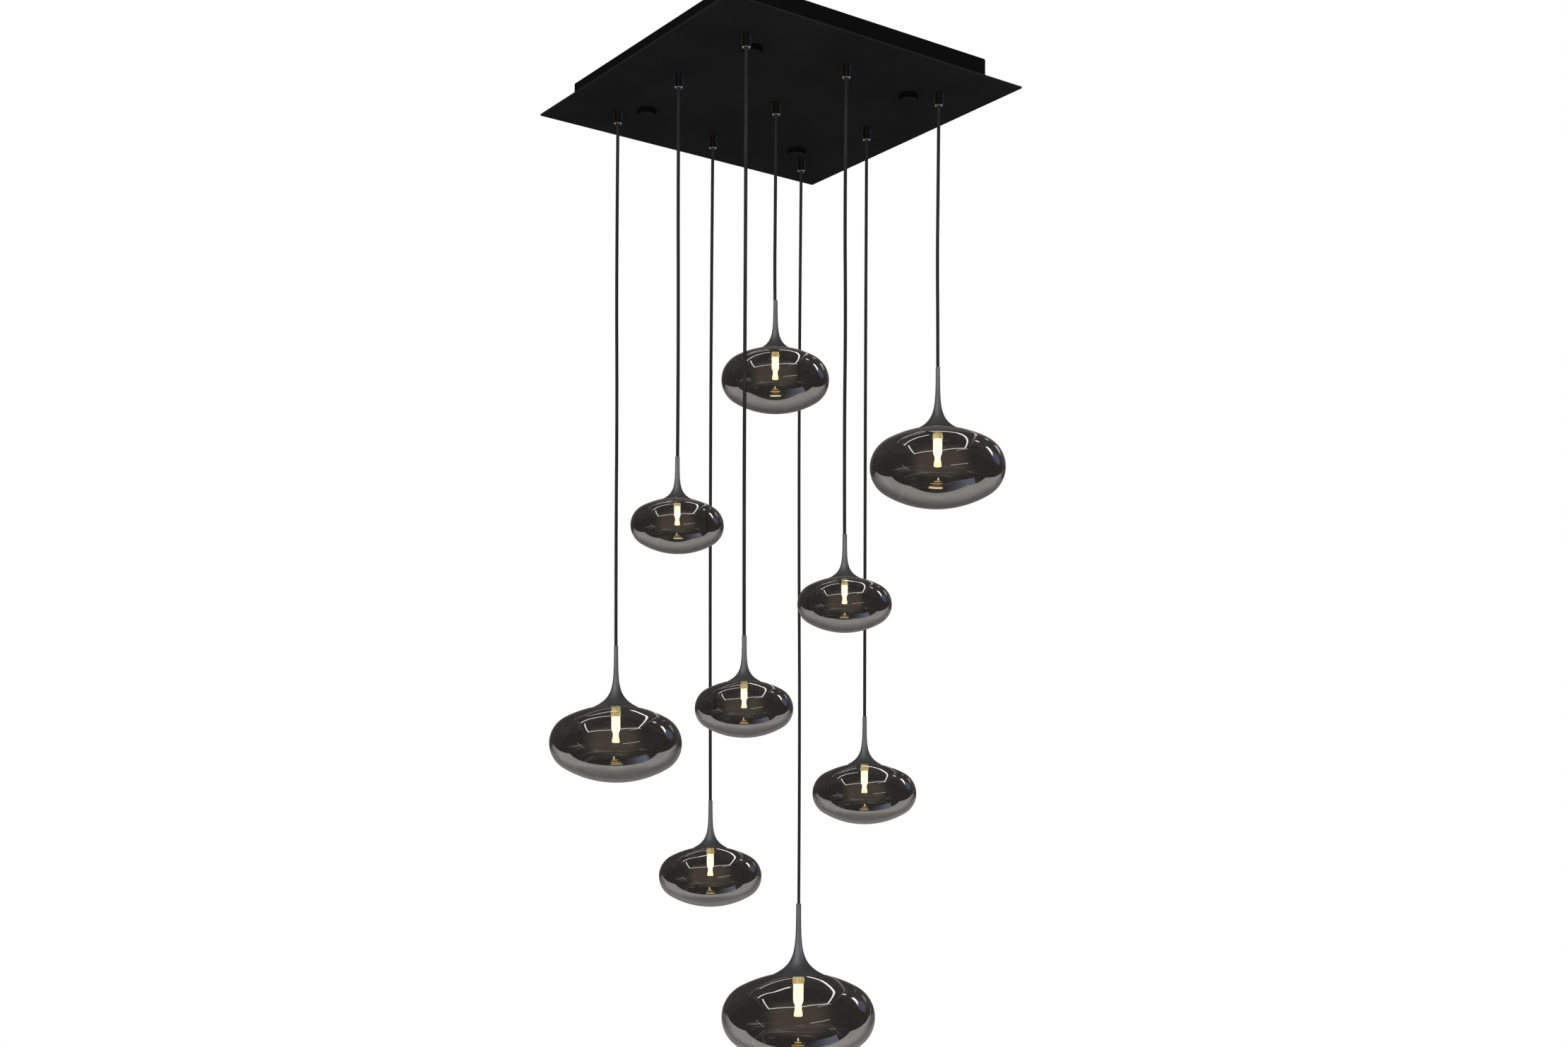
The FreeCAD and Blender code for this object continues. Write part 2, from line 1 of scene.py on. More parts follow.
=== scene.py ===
"""Looks of a cluster pendant: nine half-mirrored smoke-glass globes under a square ceiling plate.

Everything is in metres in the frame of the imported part: the origin is the centre of the ceiling
face, +Z is up and the plate's edges run along X and Y. Sizes that the part's source fixes are
repeated here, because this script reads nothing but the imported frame.
"""

import logging
import math
from collections.abc import Callable, Iterable
from dataclasses import dataclass
from enum import Enum
from functools import reduce

import bmesh
import bpy
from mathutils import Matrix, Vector


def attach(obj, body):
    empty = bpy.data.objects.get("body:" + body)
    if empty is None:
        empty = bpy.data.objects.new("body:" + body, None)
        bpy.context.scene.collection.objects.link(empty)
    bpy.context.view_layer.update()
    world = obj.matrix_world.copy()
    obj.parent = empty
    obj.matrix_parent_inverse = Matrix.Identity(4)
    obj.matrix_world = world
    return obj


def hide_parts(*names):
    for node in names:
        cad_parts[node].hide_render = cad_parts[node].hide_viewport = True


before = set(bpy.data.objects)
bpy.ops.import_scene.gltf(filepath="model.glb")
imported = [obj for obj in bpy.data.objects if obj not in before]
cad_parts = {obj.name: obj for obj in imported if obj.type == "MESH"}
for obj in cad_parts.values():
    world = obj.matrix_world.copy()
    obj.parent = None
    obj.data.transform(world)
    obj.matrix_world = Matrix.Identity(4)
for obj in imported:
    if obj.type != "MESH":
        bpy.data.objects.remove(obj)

LOG = logging.getLogger("pendant")
GRID_PITCH = 0.5 / 3
PLATE_UNDERSIDE = -0.045
SWING_Z = -0.061
GRIP_FOOT = -0.064
CABLE_RADIUS = 0.0024
CABLE_HIDDEN = 0.001
STUD_REACH = 0.136
MERGE_DISTANCE = 1e-6
AXIS_RADIUS = 1e-7
MAP_NAME = "shell"
WHITE = (1.0, 1.0, 1.0)
VIEW_YAW = math.radians(36.18)
ACROSS_VIEW = Vector((math.cos(VIEW_YAW), -math.sin(VIEW_YAW), 0.0))

Number = "float | Wire"
Outline = list[tuple[float, float]]
Triple = tuple[float, float, float]


def operator(operation: str, swapped: bool = False) -> Callable[["Wire", Number], "Wire"]:
    """One of Wire's operators on two values.

    Args:
        operation: The Math node's operation.
        swapped: True for a reflected form, in which the wire comes second.

    Returns:
        The method.
    """

    def method(self: "Wire", other: Number) -> "Wire":
        """Add the Math node."""
        return self.maths(operation, *((other, self) if swapped else (self, other)))

    return method


class Wire:
    """A node's output that Python expressions can use, adding Math nodes as they go."""

    def __init__(self, graph: "Graph", socket: bpy.types.NodeSocket) -> None:
        """Keep the output and the graph that it belongs to."""
        self.graph = graph
        self.socket = socket

    def maths(self, operation: str, *values: Number) -> "Wire":
        """Add one Math node with these inputs."""
        inputs = dict(enumerate(values))
        return self.graph.node("ShaderNodeMath", {"operation": operation}, inputs)

    __add__, __radd__ = operator("ADD"), operator("ADD", True)
    __sub__, __rsub__ = operator("SUBTRACT"), operator("SUBTRACT", True)
    __mul__, __rmul__ = operator("MULTIPLY"), operator("MULTIPLY", True)
    __truediv__, __rtruediv__ = operator("DIVIDE"), operator("DIVIDE", True)
    __pow__, __rpow__ = operator("POWER"), operator("POWER", True)
    least, most = operator("MINIMUM"), operator("MAXIMUM")
    above = operator("GREATER_THAN")

    def __neg__(self) -> "Wire":
        """Negative."""
        return self.maths("MULTIPLY", self, -1.0)

    def __abs__(self) -> "Wire":
        """Size without sign."""
        return self.maths("ABSOLUTE", self)

    def root(self) -> "Wire":
        """Square root."""
        return self.maths("SQRT", self)

    def sine(self) -> "Wire":
        """Sine of an angle."""
        return self.maths("SINE", self)

    def cosine(self) -> "Wire":
        """Cosine of an angle."""
        return self.maths("COSINE", self)

    def eased(self, low: float, high: float) -> "Wire":
        """0 below low, 1 above high, and a smooth step between them."""
        settings = {"interpolation_type": "SMOOTHSTEP", "clamp": True}
        inputs = {"Value": self, "From Min": low, "From Max": high}
        return self.graph.node("ShaderNodeMapRange", settings, inputs)


class Graph:
    """A node tree of any kind, filled through one method."""

    def __init__(self, tree: bpy.types.NodeTree) -> None:
        """Start from an empty tree."""
        self.tree = tree
        tree.nodes.clear()

    def node(
        self,
        kind: str,
        settings: dict[str, object] | None = None,
        inputs: dict[str | int, object] | None = None,
        out: str | int = 0,
    ) -> Wire:
        """Add a node.

        Args:
            kind: The node's type.
            settings: Properties, which are set first.
            inputs: Values or wires for its sockets, by name or number.
            out: The output to return.

        Returns:
            The chosen output, or a wire with no socket if the node has none.
        """
        made = self.tree.nodes.new(kind)
        for name, value in (settings or {}).items():
            setattr(made, name, value)
        for name, value in (inputs or {}).items():
            socket = made.inputs[name]
            if isinstance(value, Wire):
                self.tree.links.new(value.socket, socket)
            else:
                socket.default_value = value
        return Wire(self, made.outputs[out] if len(made.outputs) else None)

    def mix(self, factor: Number, a: object, b: object) -> Wire:
        """Mix two colours.

        Args:
            factor: 0 gives the first, 1 the second.
            a: First colour or wire.
            b: Second colour or wire.

        Returns:
            The mixed colour.
        """
        ends = [end if isinstance(end, Wire) else rgba(end) for end in (a, b)]
        inputs = {0: factor, 6: ends[0], 7: ends[1]}
        return self.node("ShaderNodeMix", {"data_type": "RGBA"}, inputs, 2)

    def vectors(self, operation: str, *values: object, out: str | int = 0) -> Wire:
        """One Vector Math node with these inputs."""
        inputs = dict(enumerate(values))
        return self.node("ShaderNodeVectorMath", {"operation": operation}, inputs, out)

    def stretched(self, vector: Wire, scale: Triple) -> Wire:
        """A vector with each axis scaled."""
        return self.node("ShaderNodeMapping", {}, {"Vector": vector, "Scale": scale})

    def part(self, vector: Wire, axis: str) -> Wire:
        """One axis of a vector."""
        return self.node("ShaderNodeSeparateXYZ", {}, {"Vector": vector}, axis)

    def object_point(self) -> Wire:
        """The surface's place on the object."""
        return self.node("ShaderNodeTexCoord", out="Object")

    def map_level(self) -> Wire:
        """How far along a turned piece's outline the surface is, from 0 to 1."""
        return self.part(self.node("ShaderNodeUVMap", {"uv_map": MAP_NAME}), "Y")

    def is_ray(self, kind: str) -> Wire:
        """1 for rays of one kind, otherwise 0."""
        return self.node("ShaderNodeLightPath", out=f"Is {kind} Ray")

    def noise(self, point: Wire, scale: float, detail: float = 3.0, rough: float = 0.5) -> Wire:
        """A noise at a point.

        Args:
            point: The point.
            scale: How many grains there are in a metre.
            detail: How many finer layers it has.
            rough: How much the finer layers show.

        Returns:
            A value from 0 to 1.
        """
        inputs = {"Vector": point, "Scale": scale, "Detail": detail, "Roughness": rough}
        return self.node("ShaderNodeTexNoise", {}, inputs)


def rgba(colour: Iterable[float]) -> tuple[float, ...]:
    """A colour with an alpha of 1 added if it has none."""
    values = tuple(colour)
    return values if len(values) == 4 else values + (1.0,)


def linear(*shade: int) -> Triple:
    """A colour as the shaders count it, from 0 to 255 display values."""
    parts = [s / 255 for s in shade]
    return tuple(p / 12.92 if p <= 0.04045 else ((p + 0.055) / 1.055) ** 2.4 for p in parts)


@dataclass(frozen=True)
class Finish:
    """A surface finish; its material is built once and shared."""

    name: str
    colour: Triple
    roughness: float = 0.5
    metallic: float = 0.0
    specular: float = 0.5

    def material(self) -> bpy.types.Material:
        """The finish's material, built the first time it is asked for.

        Returns:
            The material.
        """
        known = bpy.data.materials.get(self.name)
        if known:
            return known
        made = bpy.data.materials.new(self.name)
        made.use_nodes = True
        made.diffuse_color = rgba(self.colour)
        graph = Graph(made.node_tree)
        shader = self.shader(graph)
        graph.node("ShaderNodeOutputMaterial", {}, {"Surface": shader})
        return made

    def shader(self, graph: Graph) -> Wire:
        """The finish's surface shader; a plain one unless a finish says otherwise."""
        return self.principled(graph)

    def principled(self, graph: Graph, **inputs: object) -> Wire:
        """A Principled shader with this finish's values.

        Args:
            graph: The material's graph.
            inputs: Values or wires by socket name, with underscores for spaces.

        Returns:
            The shader.
        """
        values = {
            "Base Color": rgba(self.colour),
            "Roughness": self.roughness,
            "Metallic": self.metallic,
            "Specular IOR Level": self.specular,
        }
        values.update({name.replace("_", " "): value for name, value in inputs.items()})
        return graph.node("ShaderNodeBsdfPrincipled", {}, values)

    def toned(self, factor: float, lift: float = 0.0) -> Triple:
        """The finish's colour, scaled and lifted."""
        return tuple(c * factor + lift for c in self.colour)

    @staticmethod
    def bump(height: Wire, strength: float, distance: float = 0.0001, **inputs: Wire) -> Wire:
        """A normal from a height.

        Args:
            height: The height.
            strength: How much of it shows.
            distance: What a height of 1 stands for.
            inputs: "Normal" gives another normal that the height is added to.

        Returns:
            The normal.
        """
        values = {"Height": height, "Strength": strength, "Distance": distance, **inputs}
        return height.graph.node("ShaderNodeBump", {}, values)


@dataclass(frozen=True)
class PowderCoat(Finish):
    """Fine matt powder coat: a slight orange peel with tiny specks and a little dust."""

    grain: float = 1400.0

    def shader(self, graph: Graph) -> Wire:
        """Grain in the bump and roughness, and a faint cloudiness in the colour.

        Args:
            graph: The material's graph.

        Returns:
            The shader.
        """
        point = graph.object_point()
        peel = graph.noise(point, self.grain, 2.0)
        cloud = graph.noise(point, 9.0, 4.0)
        speck = graph.noise(point, self.grain * 2.3, 1.0).eased(0.62, 0.78)
        base = graph.mix(cloud.eased(0.3, 0.7), self.toned(0.82), self.colour)
        base = graph.mix(speck * 0.35, base, self.toned(1.5, 0.006))
        rough = self.roughness - 0.05 + peel * 0.1 + cloud * 0.06
        normal = self.bump(peel, 0.35, 0.0002)
        return self.principled(graph, Base_Color=base, Roughness=rough, Normal=normal)


@dataclass(frozen=True)
class SpunMetal(Finish):
    """Dark plated spun metal: fine rings round the axis, smears of polish and a satin gloss."""

    rings: float = 900.0

    def shader(self, graph: Graph) -> Wire:
        """Rings from the height alone, broken up by a slow noise.

        Args:
            graph: The material's graph.

        Returns:
            The shader.
        """
        point = graph.object_point()
        height = graph.part(point, "Z") * self.rings
        ring = graph.noise(graph.node("ShaderNodeCombineXYZ", {}, {"Z": height}), 1.0, 3.0, 0.6)
        smear = graph.noise(point, 38.0, 3.0)
        base = graph.mix(smear.eased(0.3, 0.7), self.toned(0.8), self.colour)
        rough = self.roughness - 0.04 + ring * 0.06 + smear * 0.05
        normal = self.bump(ring, 0.05)
        return self.principled(graph, Base_Color=base, Roughness=rough, Normal=normal)


@dataclass(frozen=True)
class SmokeGlass(Finish):
    """Smoke glass with a half mirror on it: part metal, part clear, a little uneven.

    The mesh's "lean" attribute is the turn by which a globe's wall is out of true, and its
    "mirror" attribute is 1 on the outer wall, where the half mirror is.
    """

    inner: Triple = (0.40, 0.395, 0.385)
    ior: float = 1.45

    def shader(self, graph: Graph) -> Wire:
        """More mirror near the foot than at the shoulder, and faint waves of the blown wall.

        Args:
            graph: The material's graph.

        Returns:
            The shader.
        """
        lean = graph.node("ShaderNodeAttribute", {"attribute_name": "lean"}, out="Vector")
        plain = graph.node("ShaderNodeNewGeometry", out="Normal")
        turn = graph.vectors("CROSS_PRODUCT", lean, plain)
        leant = graph.vectors("NORMALIZE", graph.vectors("ADD", plain, turn))
        point = graph.object_point()
        wave = graph.noise(point, 34.0, 0.0)
        cloud = graph.noise(point, 30.0, 2.0)
        coated = graph.node("ShaderNodeAttribute", {"attribute_name": "mirror"}, out="Fac")
        mirror = coated * (self.metallic + (1 - graph.map_level()) * 0.03 + cloud * 0.02)
        return self.principled(
            graph,
            Base_Color=graph.mix(coated, self.inner, self.colour),
            Metallic=mirror,
            Transmission_Weight=1.0,
            IOR=self.ior,
            Normal=self.bump(wave, 0.04, 0.001, Normal=leant),
        )


@dataclass(frozen=True)
class Glow(Finish):
    """A lit diffuser, warmer towards its foot."""

    strength: float = 13.5
    warm: Triple = linear(255, 236, 190)

    def shader(self, graph: Graph) -> Wire:
        """Warmer towards the foot, with the slight unevenness of frosting.

        Args:
            graph: The material's graph.

        Returns:
            The shader.
        """
        frost = graph.noise(graph.object_point(), 260.0, 3.0)
        share = graph.map_level().eased(0.0, 0.25) * (0.8 + frost * 0.2)
        colour = graph.mix(share, self.warm, self.colour)
        return self.principled(
            graph,
            Base_Color=colour,
            Emission_Color=colour,
            Emission_Strength=self.strength,
        )


@dataclass(frozen=True)
class GrainedGold(Finish):
    """Gold-coloured holder: a coarse cast grain, brown hollows and a painted glow of its lamp."""

    glow: float = 6.7
    hollow: Triple = linear(142, 100, 44)
    high: Triple = linear(255, 244, 196)
    painted_glow_dim: Triple = linear(214, 176, 98)
    bright: Triple = linear(255, 243, 196)

    def shader(self, graph: Graph) -> Wire:
        """Grain in colour, roughness and bump, and a patchy painted glow.

        Args:
            graph: The material's graph.

        Returns:
            The shader.
        """
        point = graph.object_point()
        grain = graph.noise(point, 620.0, 4.0, 0.7)
        patch = graph.noise(point, 190.0, 2.0)
        base = graph.mix(grain.eased(0.35, 0.65), self.hollow, self.colour)
        base = graph.mix(patch.eased(0.5, 0.75) * 0.7, base, self.high)
        return self.principled(
            graph,
            Base_Color=base,
            Roughness=self.roughness + (1 - grain) * 0.2,
            Normal=self.bump(grain, 0.5, 0.0006),
            # Painted light: the emission makes the holder glow as if lit by its lamp, though it is
            # no lamp.
            Emission_Color=graph.mix(patch.eased(0.3, 0.7), self.painted_glow_dim, self.bright),
            Emission_Strength=self.glow,
        )


@dataclass(frozen=True)
class Sheath(Finish):
    """Black cable sheath: a faint lengthwise rib, handling marks and a soft sheen."""

    def shader(self, graph: Graph) -> Wire:
        """Long marks from a noise stretched along the drop.

        Args:
            graph: The material's graph.

        Returns:
            The shader.
        """
        point = graph.object_point()
        streak = graph.noise(graph.stretched(point, (1.0, 1.0, 0.03)), 500.0, 1.0)
        mark = graph.noise(point, 26.0, 3.0)
        base = graph.mix(mark.eased(0.45, 0.75) * 0.5, self.colour, self.toned(1.7, 0.004))
        rough = self.roughness - 0.06 + mark * 0.14
        normal = self.bump(streak, 0.1)
        return self.principled(graph, Base_Color=base, Roughness=rough, Normal=normal)


@dataclass(frozen=True)
class Moulded(Finish):
    """Moulded plastic or rubber: a fine spark grain and slight yellowing or bloom."""

    bloom: Triple = (0.7, 0.66, 0.58)

    def shader(self, graph: Graph) -> Wire:
        """Spark grain in the bump, bloom in the colour.

        Args:
            graph: The material's graph.

        Returns:
            The shader.
        """
        point = graph.object_point()
        grain = graph.noise(point, 2200.0, 2.0)
        cloud = graph.noise(point, 55.0, 3.0)
        base = graph.mix(cloud.eased(0.4, 0.9) * 0.35, self.colour, self.bloom)
        normal = self.bump(grain, 0.25)
        rough = self.roughness + grain * 0.1 - 0.05
        return self.principled(graph, Base_Color=base, Roughness=rough, Normal=normal)


@dataclass(frozen=True)
class PlatedSteel(Finish):
    """Plated steel or brass fixings: fine scratches and a slight cast of colour."""

    def shader(self, graph: Graph) -> Wire:
        """Scratches in roughness and bump, and a faint tint in patches.

        Args:
            graph: The material's graph.

        Returns:
            The shader.
        """
        point = graph.object_point()
        scratch = graph.noise(point, 1500.0, 4.0, 0.7)
        tint = graph.noise(point, 120.0, 2.0)
        warm = tuple(c * f for c, f in zip(self.colour, (1.02, 0.96, 0.84)))
        base = graph.mix(tint.eased(0.35, 0.7), self.colour, warm)
        rough = self.roughness - 0.06 + scratch * 0.16
        normal = self.bump(scratch, 0.2)
        return self.principled(graph, Base_Color=base, Roughness=rough, Normal=normal)


@dataclass(frozen=True)
class BlackPlate(Finish):
    """Polished black plating: dark mirror, faint wipe marks, painted highlight on the foot."""

    painted_highlight_foot: Triple = (0.40, 0.40, 0.41)

    def shader(self, graph: Graph) -> Wire:
        """Bump marks, a slight cloud in the colour and a painted highlight at the lowest edge.

        Args:
            graph: The material's graph.

        Returns:
            The shader.
        """
        point = graph.object_point()
        wipe = graph.noise(point, 240.0, 3.0)
        cloud = graph.noise(point, 90.0, 2.0)
        base = graph.mix(cloud.eased(0.3, 0.7), self.toned(0.75), self.colour)
        # Painted highlight: the mirror colour turns pale along the lowest edge.
        height = graph.part(point, "Z") - GRIP_FOOT
        base = graph.mix(1 - height.eased(0.0004, 0.0013), base, self.painted_highlight_foot)
        normal = self.bump(wipe, 0.06)
        return self.principled(graph, Base_Color=base, Normal=normal)


@dataclass(frozen=True)
class TurnedNut(Finish):
    """A black nut, turning marks: knurled rim in painted shade, face as pale as the plate."""

    face: Triple = (0.0137, 0.0137, 0.0137)

    def shader(self, graph: Graph) -> Wire:
        """Painted shade: dark up to the edge of the face, which the map's second value tells.

        Args:
            graph: The material's graph.

        Returns:
            The shader.
        """
        scratch = graph.noise(graph.object_point(), 1500.0, 4.0, 0.7)
        # Painted shade: the rim takes a darker colour than the face, as if its side were in shade.
        base = graph.mix(graph.map_level().eased(0.72, 0.78), self.colour, self.face)
        rough = self.roughness + scratch * 0.12
        normal = self.bump(scratch, 0.2)
        return self.principled(graph, Base_Color=base, Roughness=rough, Normal=normal)


# Painted shade: the housing's coat is darker than the cover's, at the tone of its walls in shade.
HOUSING = PowderCoat("housing_coat", linear(12, 12, 12), 0.62, specular=0.05)
COVER = PowderCoat("cover_coat", linear(34, 34, 34), 0.6, specular=0.05)
GRIP_BLACK = BlackPlate("grip_black_plating", linear(44, 46, 49), 0.0, 0.92)
# The nut's near-black colour is the painted shade of its rim.
NUT_BLACK = TurnedNut("nut_satin_black", linear(5, 5, 5), 0.5, 0.0, 0.03)
GUNMETAL = SpunMetal("gunmetal_plating", linear(124, 124, 125), 0.4, 0.75, 0.15)
SMOKE = SmokeGlass("smoke_mirror_glass", (0.237, 0.231, 0.221), 0.0, 0.68)
LAMP_LIT = Glow("lamp_lit", linear(255, 248, 226), 0.5)
# The holder's emission is a painted glow of its lamp's light.
HOLDER_GOLD = GrainedGold("grained_gold", linear(226, 188, 104), 0.34, 0.7)
SPRING = PlatedSteel("clip_spring", (0.5, 0.48, 0.44), 0.3, 1.0)
CABLE = Sheath("cable_sheath", linear(36, 36, 36), 0.5, specular=0.12)
ZINC = PlatedSteel("zinc_plating", (0.55, 0.55, 0.54), 0.32, 1.0)
BRASS = PlatedSteel("brass_plating", (0.62, 0.46, 0.2), 0.3, 1.0)
PALE_PLASTIC = Moulded("cream_plastic", (0.68, 0.68, 0.66), 0.45)
RUBBER = Moulded("bushing_rubber", linear(34, 34, 34), 0.7, bloom=linear(70, 68, 66))


def oval_arc(radius: float, centre: tuple[float, float], start: float, end: float,
             steps: int) -> Outline:
    """Points along an arc in the outline's plane.

    Args:
        radius: The arc's radius.
        centre: Its centre, as distance from the axis and height.
        start: Start angle.
        end: End angle.
        steps: How many steps the arc is cut into.

    Returns:
        The points, both ends included.
    """
    angles = [start + (end - start) * k / steps for k in range(steps + 1)]
    return [(centre[0] + radius * math.cos(a), centre[1] + radius * math.sin(a)) for a in angles]


def in_scene(made: bpy.types.Object) -> bpy.types.Object:
    """Put an object in the scene and return it."""
    bpy.context.scene.collection.objects.link(made)
    return made


def bare_mesh(name: str, build: Callable[[bmesh.types.BMesh], None]) -> bpy.types.Object:
    """An object at the origin from mesh code.

    Args:
        name: The object's name.
        build: Fills the mesh.

    Returns:
        The object.
    """
    mesh = bpy.data.meshes.new(name)
    work = bmesh.new()
    build(work)
    work.to_mesh(mesh)
    work.free()
    return in_scene(bpy.data.objects.new(name, mesh))


def smoothed(piece: bpy.types.Object, degrees: float = 38.0) -> bpy.types.Object:
    """Merge doubles, point faces outwards and shade smooth up to an angle.

    Args:
        piece: The object.
        degrees: Edges sharper than this stay sharp.

    Returns:
        The same object.
    """
    work = bmesh.new()
    work.from_mesh(piece.data)
    bmesh.ops.remove_doubles(work, verts=work.verts, dist=MERGE_DISTANCE)
    bmesh.ops.recalc_face_normals(work, faces=work.faces)
    work.to_mesh(piece.data)
    work.free()
    piece.data.shade_smooth()
    piece.data.set_sharp_from_angle(angle=math.radians(degrees))
    return piece


def lathe(name: str, outline: Outline, centre: Vector, segments: int,
          hints: list[float] | None = None) -> bpy.types.Object:
    """Turn an outline about an upright axis into a closed mesh with a map round and along it.

    Args:
        name: The object's name.
        outline: Distance from the axis and height of each point, from pole to pole or closed.
        centre: Where the outline's own origin stands.
        segments: Steps round the axis.
        hints: The map's second value at each point, or None for even steps.

    Returns:
        The object.
    """
    levels = hints or [k / (len(outline) - 1) for k in range(len(outline))]

    def build(work: bmesh.types.BMesh) -> None:
        """Fill the mesh ring by ring.

        Args:
            work: The mesh.
        """
        layer = work.loops.layers.uv.new(MAP_NAME)
        rings = []
        for r, z in outline:
            if r < AXIS_RADIUS:
                rings.append([work.verts.new(centre + Vector((0, 0, z)))])
                continue
            turns = [2 * math.pi * k / segments for k in range(segments)]
            rings.append([
                work.verts.new(centre + Vector((r * math.cos(t), r * math.sin(t), z)))
                for t in turns
            ])
        for row, (low, high) in enumerate(zip(rings, rings[1:])):
            for k in range(segments):
                corners = [(low, k, 0, row), (low, k + 1, 1, row),
                           (high, k + 1, 1, row + 1), (high, k, 0, row + 1)]
                seen, places = [], []
                for ring, number, step, level in corners:
                    vert = ring[number % len(ring)] if len(ring) > 1 else ring[0]
                    if vert not in seen:
                        seen.append(vert)
                        places.append(((k + step) / segments, levels[level]))
                if len(seen) < 3:
                    continue
                face = work.faces.new(seen)
                for loop, place in zip(face.loops, places):
                    loop[layer].uv = place

    return smoothed(bare_mesh(name, build))


def bridge(work: bmesh.types.BMesh, here: list, there: list) -> None:
    """Join two loops of as many points by a band of faces.

    Args:
        work: The mesh.
        here: The first loop's points.
        there: The second loop's points.
    """
    for i, j in zip(range(len(here)), [*range(1, len(here)), 0]):
        work.faces.new((here[i], there[i], there[j], here[j]))


def dress(piece: bpy.types.Object, finish: Finish) -> bpy.types.Object:
    """Give a piece one finish, all over.

    Args:
        piece: The object.
        finish: The finish.

    Returns:
        The same object.
    """
    piece.data.materials.clear()
    piece.data.materials.append(finish.material())
    return piece


def dress_nodes(finish: Finish, *names: str) -> None:
    """Give CAD nodes that keep their shape a finish; mirrors don't see them.

    Args:
        finish: The finish.
        names: The nodes.
    """
    for name in names:
        dress(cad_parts[name], finish).visible_glossy = False
        LOG.info("%s keeps its CAD shape with finish %s", name, finish.name)


def seat(piece: bpy.types.Object, body: str, slot: str, finish: Finish | None,
         *replaced: str) -> bpy.types.Object:
    """Finish a piece and hand it to the frame; mirrors see the studio, not the pieces.

    Args:
        piece: The object, in place.
        body: The CAD body that it rides on.
        slot: The material slot that the finish belongs to; not used.
        finish: Its finish, or None if it is dressed already.
        replaced: The CAD nodes that it stands for.

    Returns:
        The same object.
    """
    if finish:
        dress(piece, finish)
    piece.visible_glossy = False
    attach(piece, body)
    if replaced:
        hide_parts(*replaced)
    LOG.info("%s rides on %s", piece.name, body)
    return piece


class GlobeSize(Enum):
    """The four sizes of globe, by the width of the glass."""

    SMALL = 0.130
    MEDIUM = 0.156
    LARGE = 0.194
    EXTRA_LARGE = 0.242


@dataclass
class GlobeForm:
    """The sizes of one globe and its fittings, with the glass's widest plane at height 0."""

    size: GlobeSize
    upper_share: float = 0.291
    lower_share: float = 0.298
    side_share: float = 0.222
    wall: float = 0.002
    collar_share: float = 0.075
    collar_height_share: float = 0.032
    rim_share: float = 0.165
    flare_share: float = 0.068
    neck_share: float = 0.46
    neck_wall: float = 0.0016
    neck_gap: float = 0.0003
    seat_wall: float = 0.0012
    neck_bore: float = 0.00255
    holder_share: float = 0.039
    holder_face_share: float = 0.2164
    band_share: float = 0.03
    socket_share: float = 0.031
    socket_depth_share: float = 0.022
    lamp_share: float = 0.0335
    lamp_top_share: float = 0.0325
    tip_share: float = 0.004

    def __post_init__(self) -> None:
        """Work out what follows from the shares."""
        self.width = self.size.value
        self.half = self.width / 2
        self.stem = 0.0039 if self.size is GlobeSize.EXTRA_LARGE else 0.0031
        self.rim = self.rim_share * self.width
        self.flare = self.flare_share * self.width
        self.collar = self.collar_share * self.width
        self.collar_foot = self.top_at(self.collar)
        self.collar_top = self.collar_foot + self.collar_height_share * self.width
        self.neck_foot = self.top_at(self.rim - self.neck_wall) + self.neck_gap
        self.neck_height = self.neck_share * self.width
        self.holder = self.holder_share * self.width
        self.holder_face = self.holder_face_share * self.width
        reach = self.holder + self.neck_gap + self.seat_wall
        decay = (reach - self.stem) / (self.rim - self.stem)
        self.seat = self.neck_foot - self.flare * math.log(decay)
        self.socket = self.socket_share * self.width
        self.socket_top = self.holder_face + self.socket_depth_share * self.width
        self.tip = self.tip_share * self.width

    def oval(self, rise: float) -> tuple[float, float, float]:
        """The four-centre oval of the globe's outline.

        Args:
            rise: The oval's height over its widest plane.

        Returns:
            The radius and the centre's height of its polar arc, and the angle where its arcs meet.
        """
        side = self.side_share * self.width
        across = self.half - side
        polar = (across ** 2 + rise ** 2 - side ** 2) / (2 * (rise - side))
        return polar, rise - polar, math.atan2(polar - rise, across)

    def top_at(self, radius: float) -> float:
        """The height of the glass's upper surface at a radius."""
        polar, centre, _ = self.oval(self.upper_share * self.width)
        return centre + math.sqrt(polar ** 2 - radius ** 2)

    def quarter(self, rise: float, inset: float, mouth: float, sign: int, steps: int) -> Outline:
        """Half of the shell's outline, from its widest plane to a mouth radius.

        Args:
            rise: The height of this half.
            inset: How far inside the outer surface it runs.
            mouth: The radius at which it ends, 0 for a pole.
            sign: 1 above the widest plane, -1 below it.
            steps: Steps for each of its two arcs.

        Returns:
            The points, starting at the widest plane.
        """
        side = self.side_share * self.width
        polar, centre, joint = self.oval(rise)
        last = math.acos(mouth / (polar - inset))
        points = oval_arc(side - inset, (self.half - side, 0.0), 0.0, joint, steps)
        points += oval_arc(polar - inset, (0.0, centre), joint, last, steps)[1:]
        return [(r if r > AXIS_RADIUS else 0.0, sign * z) for r, z in points]


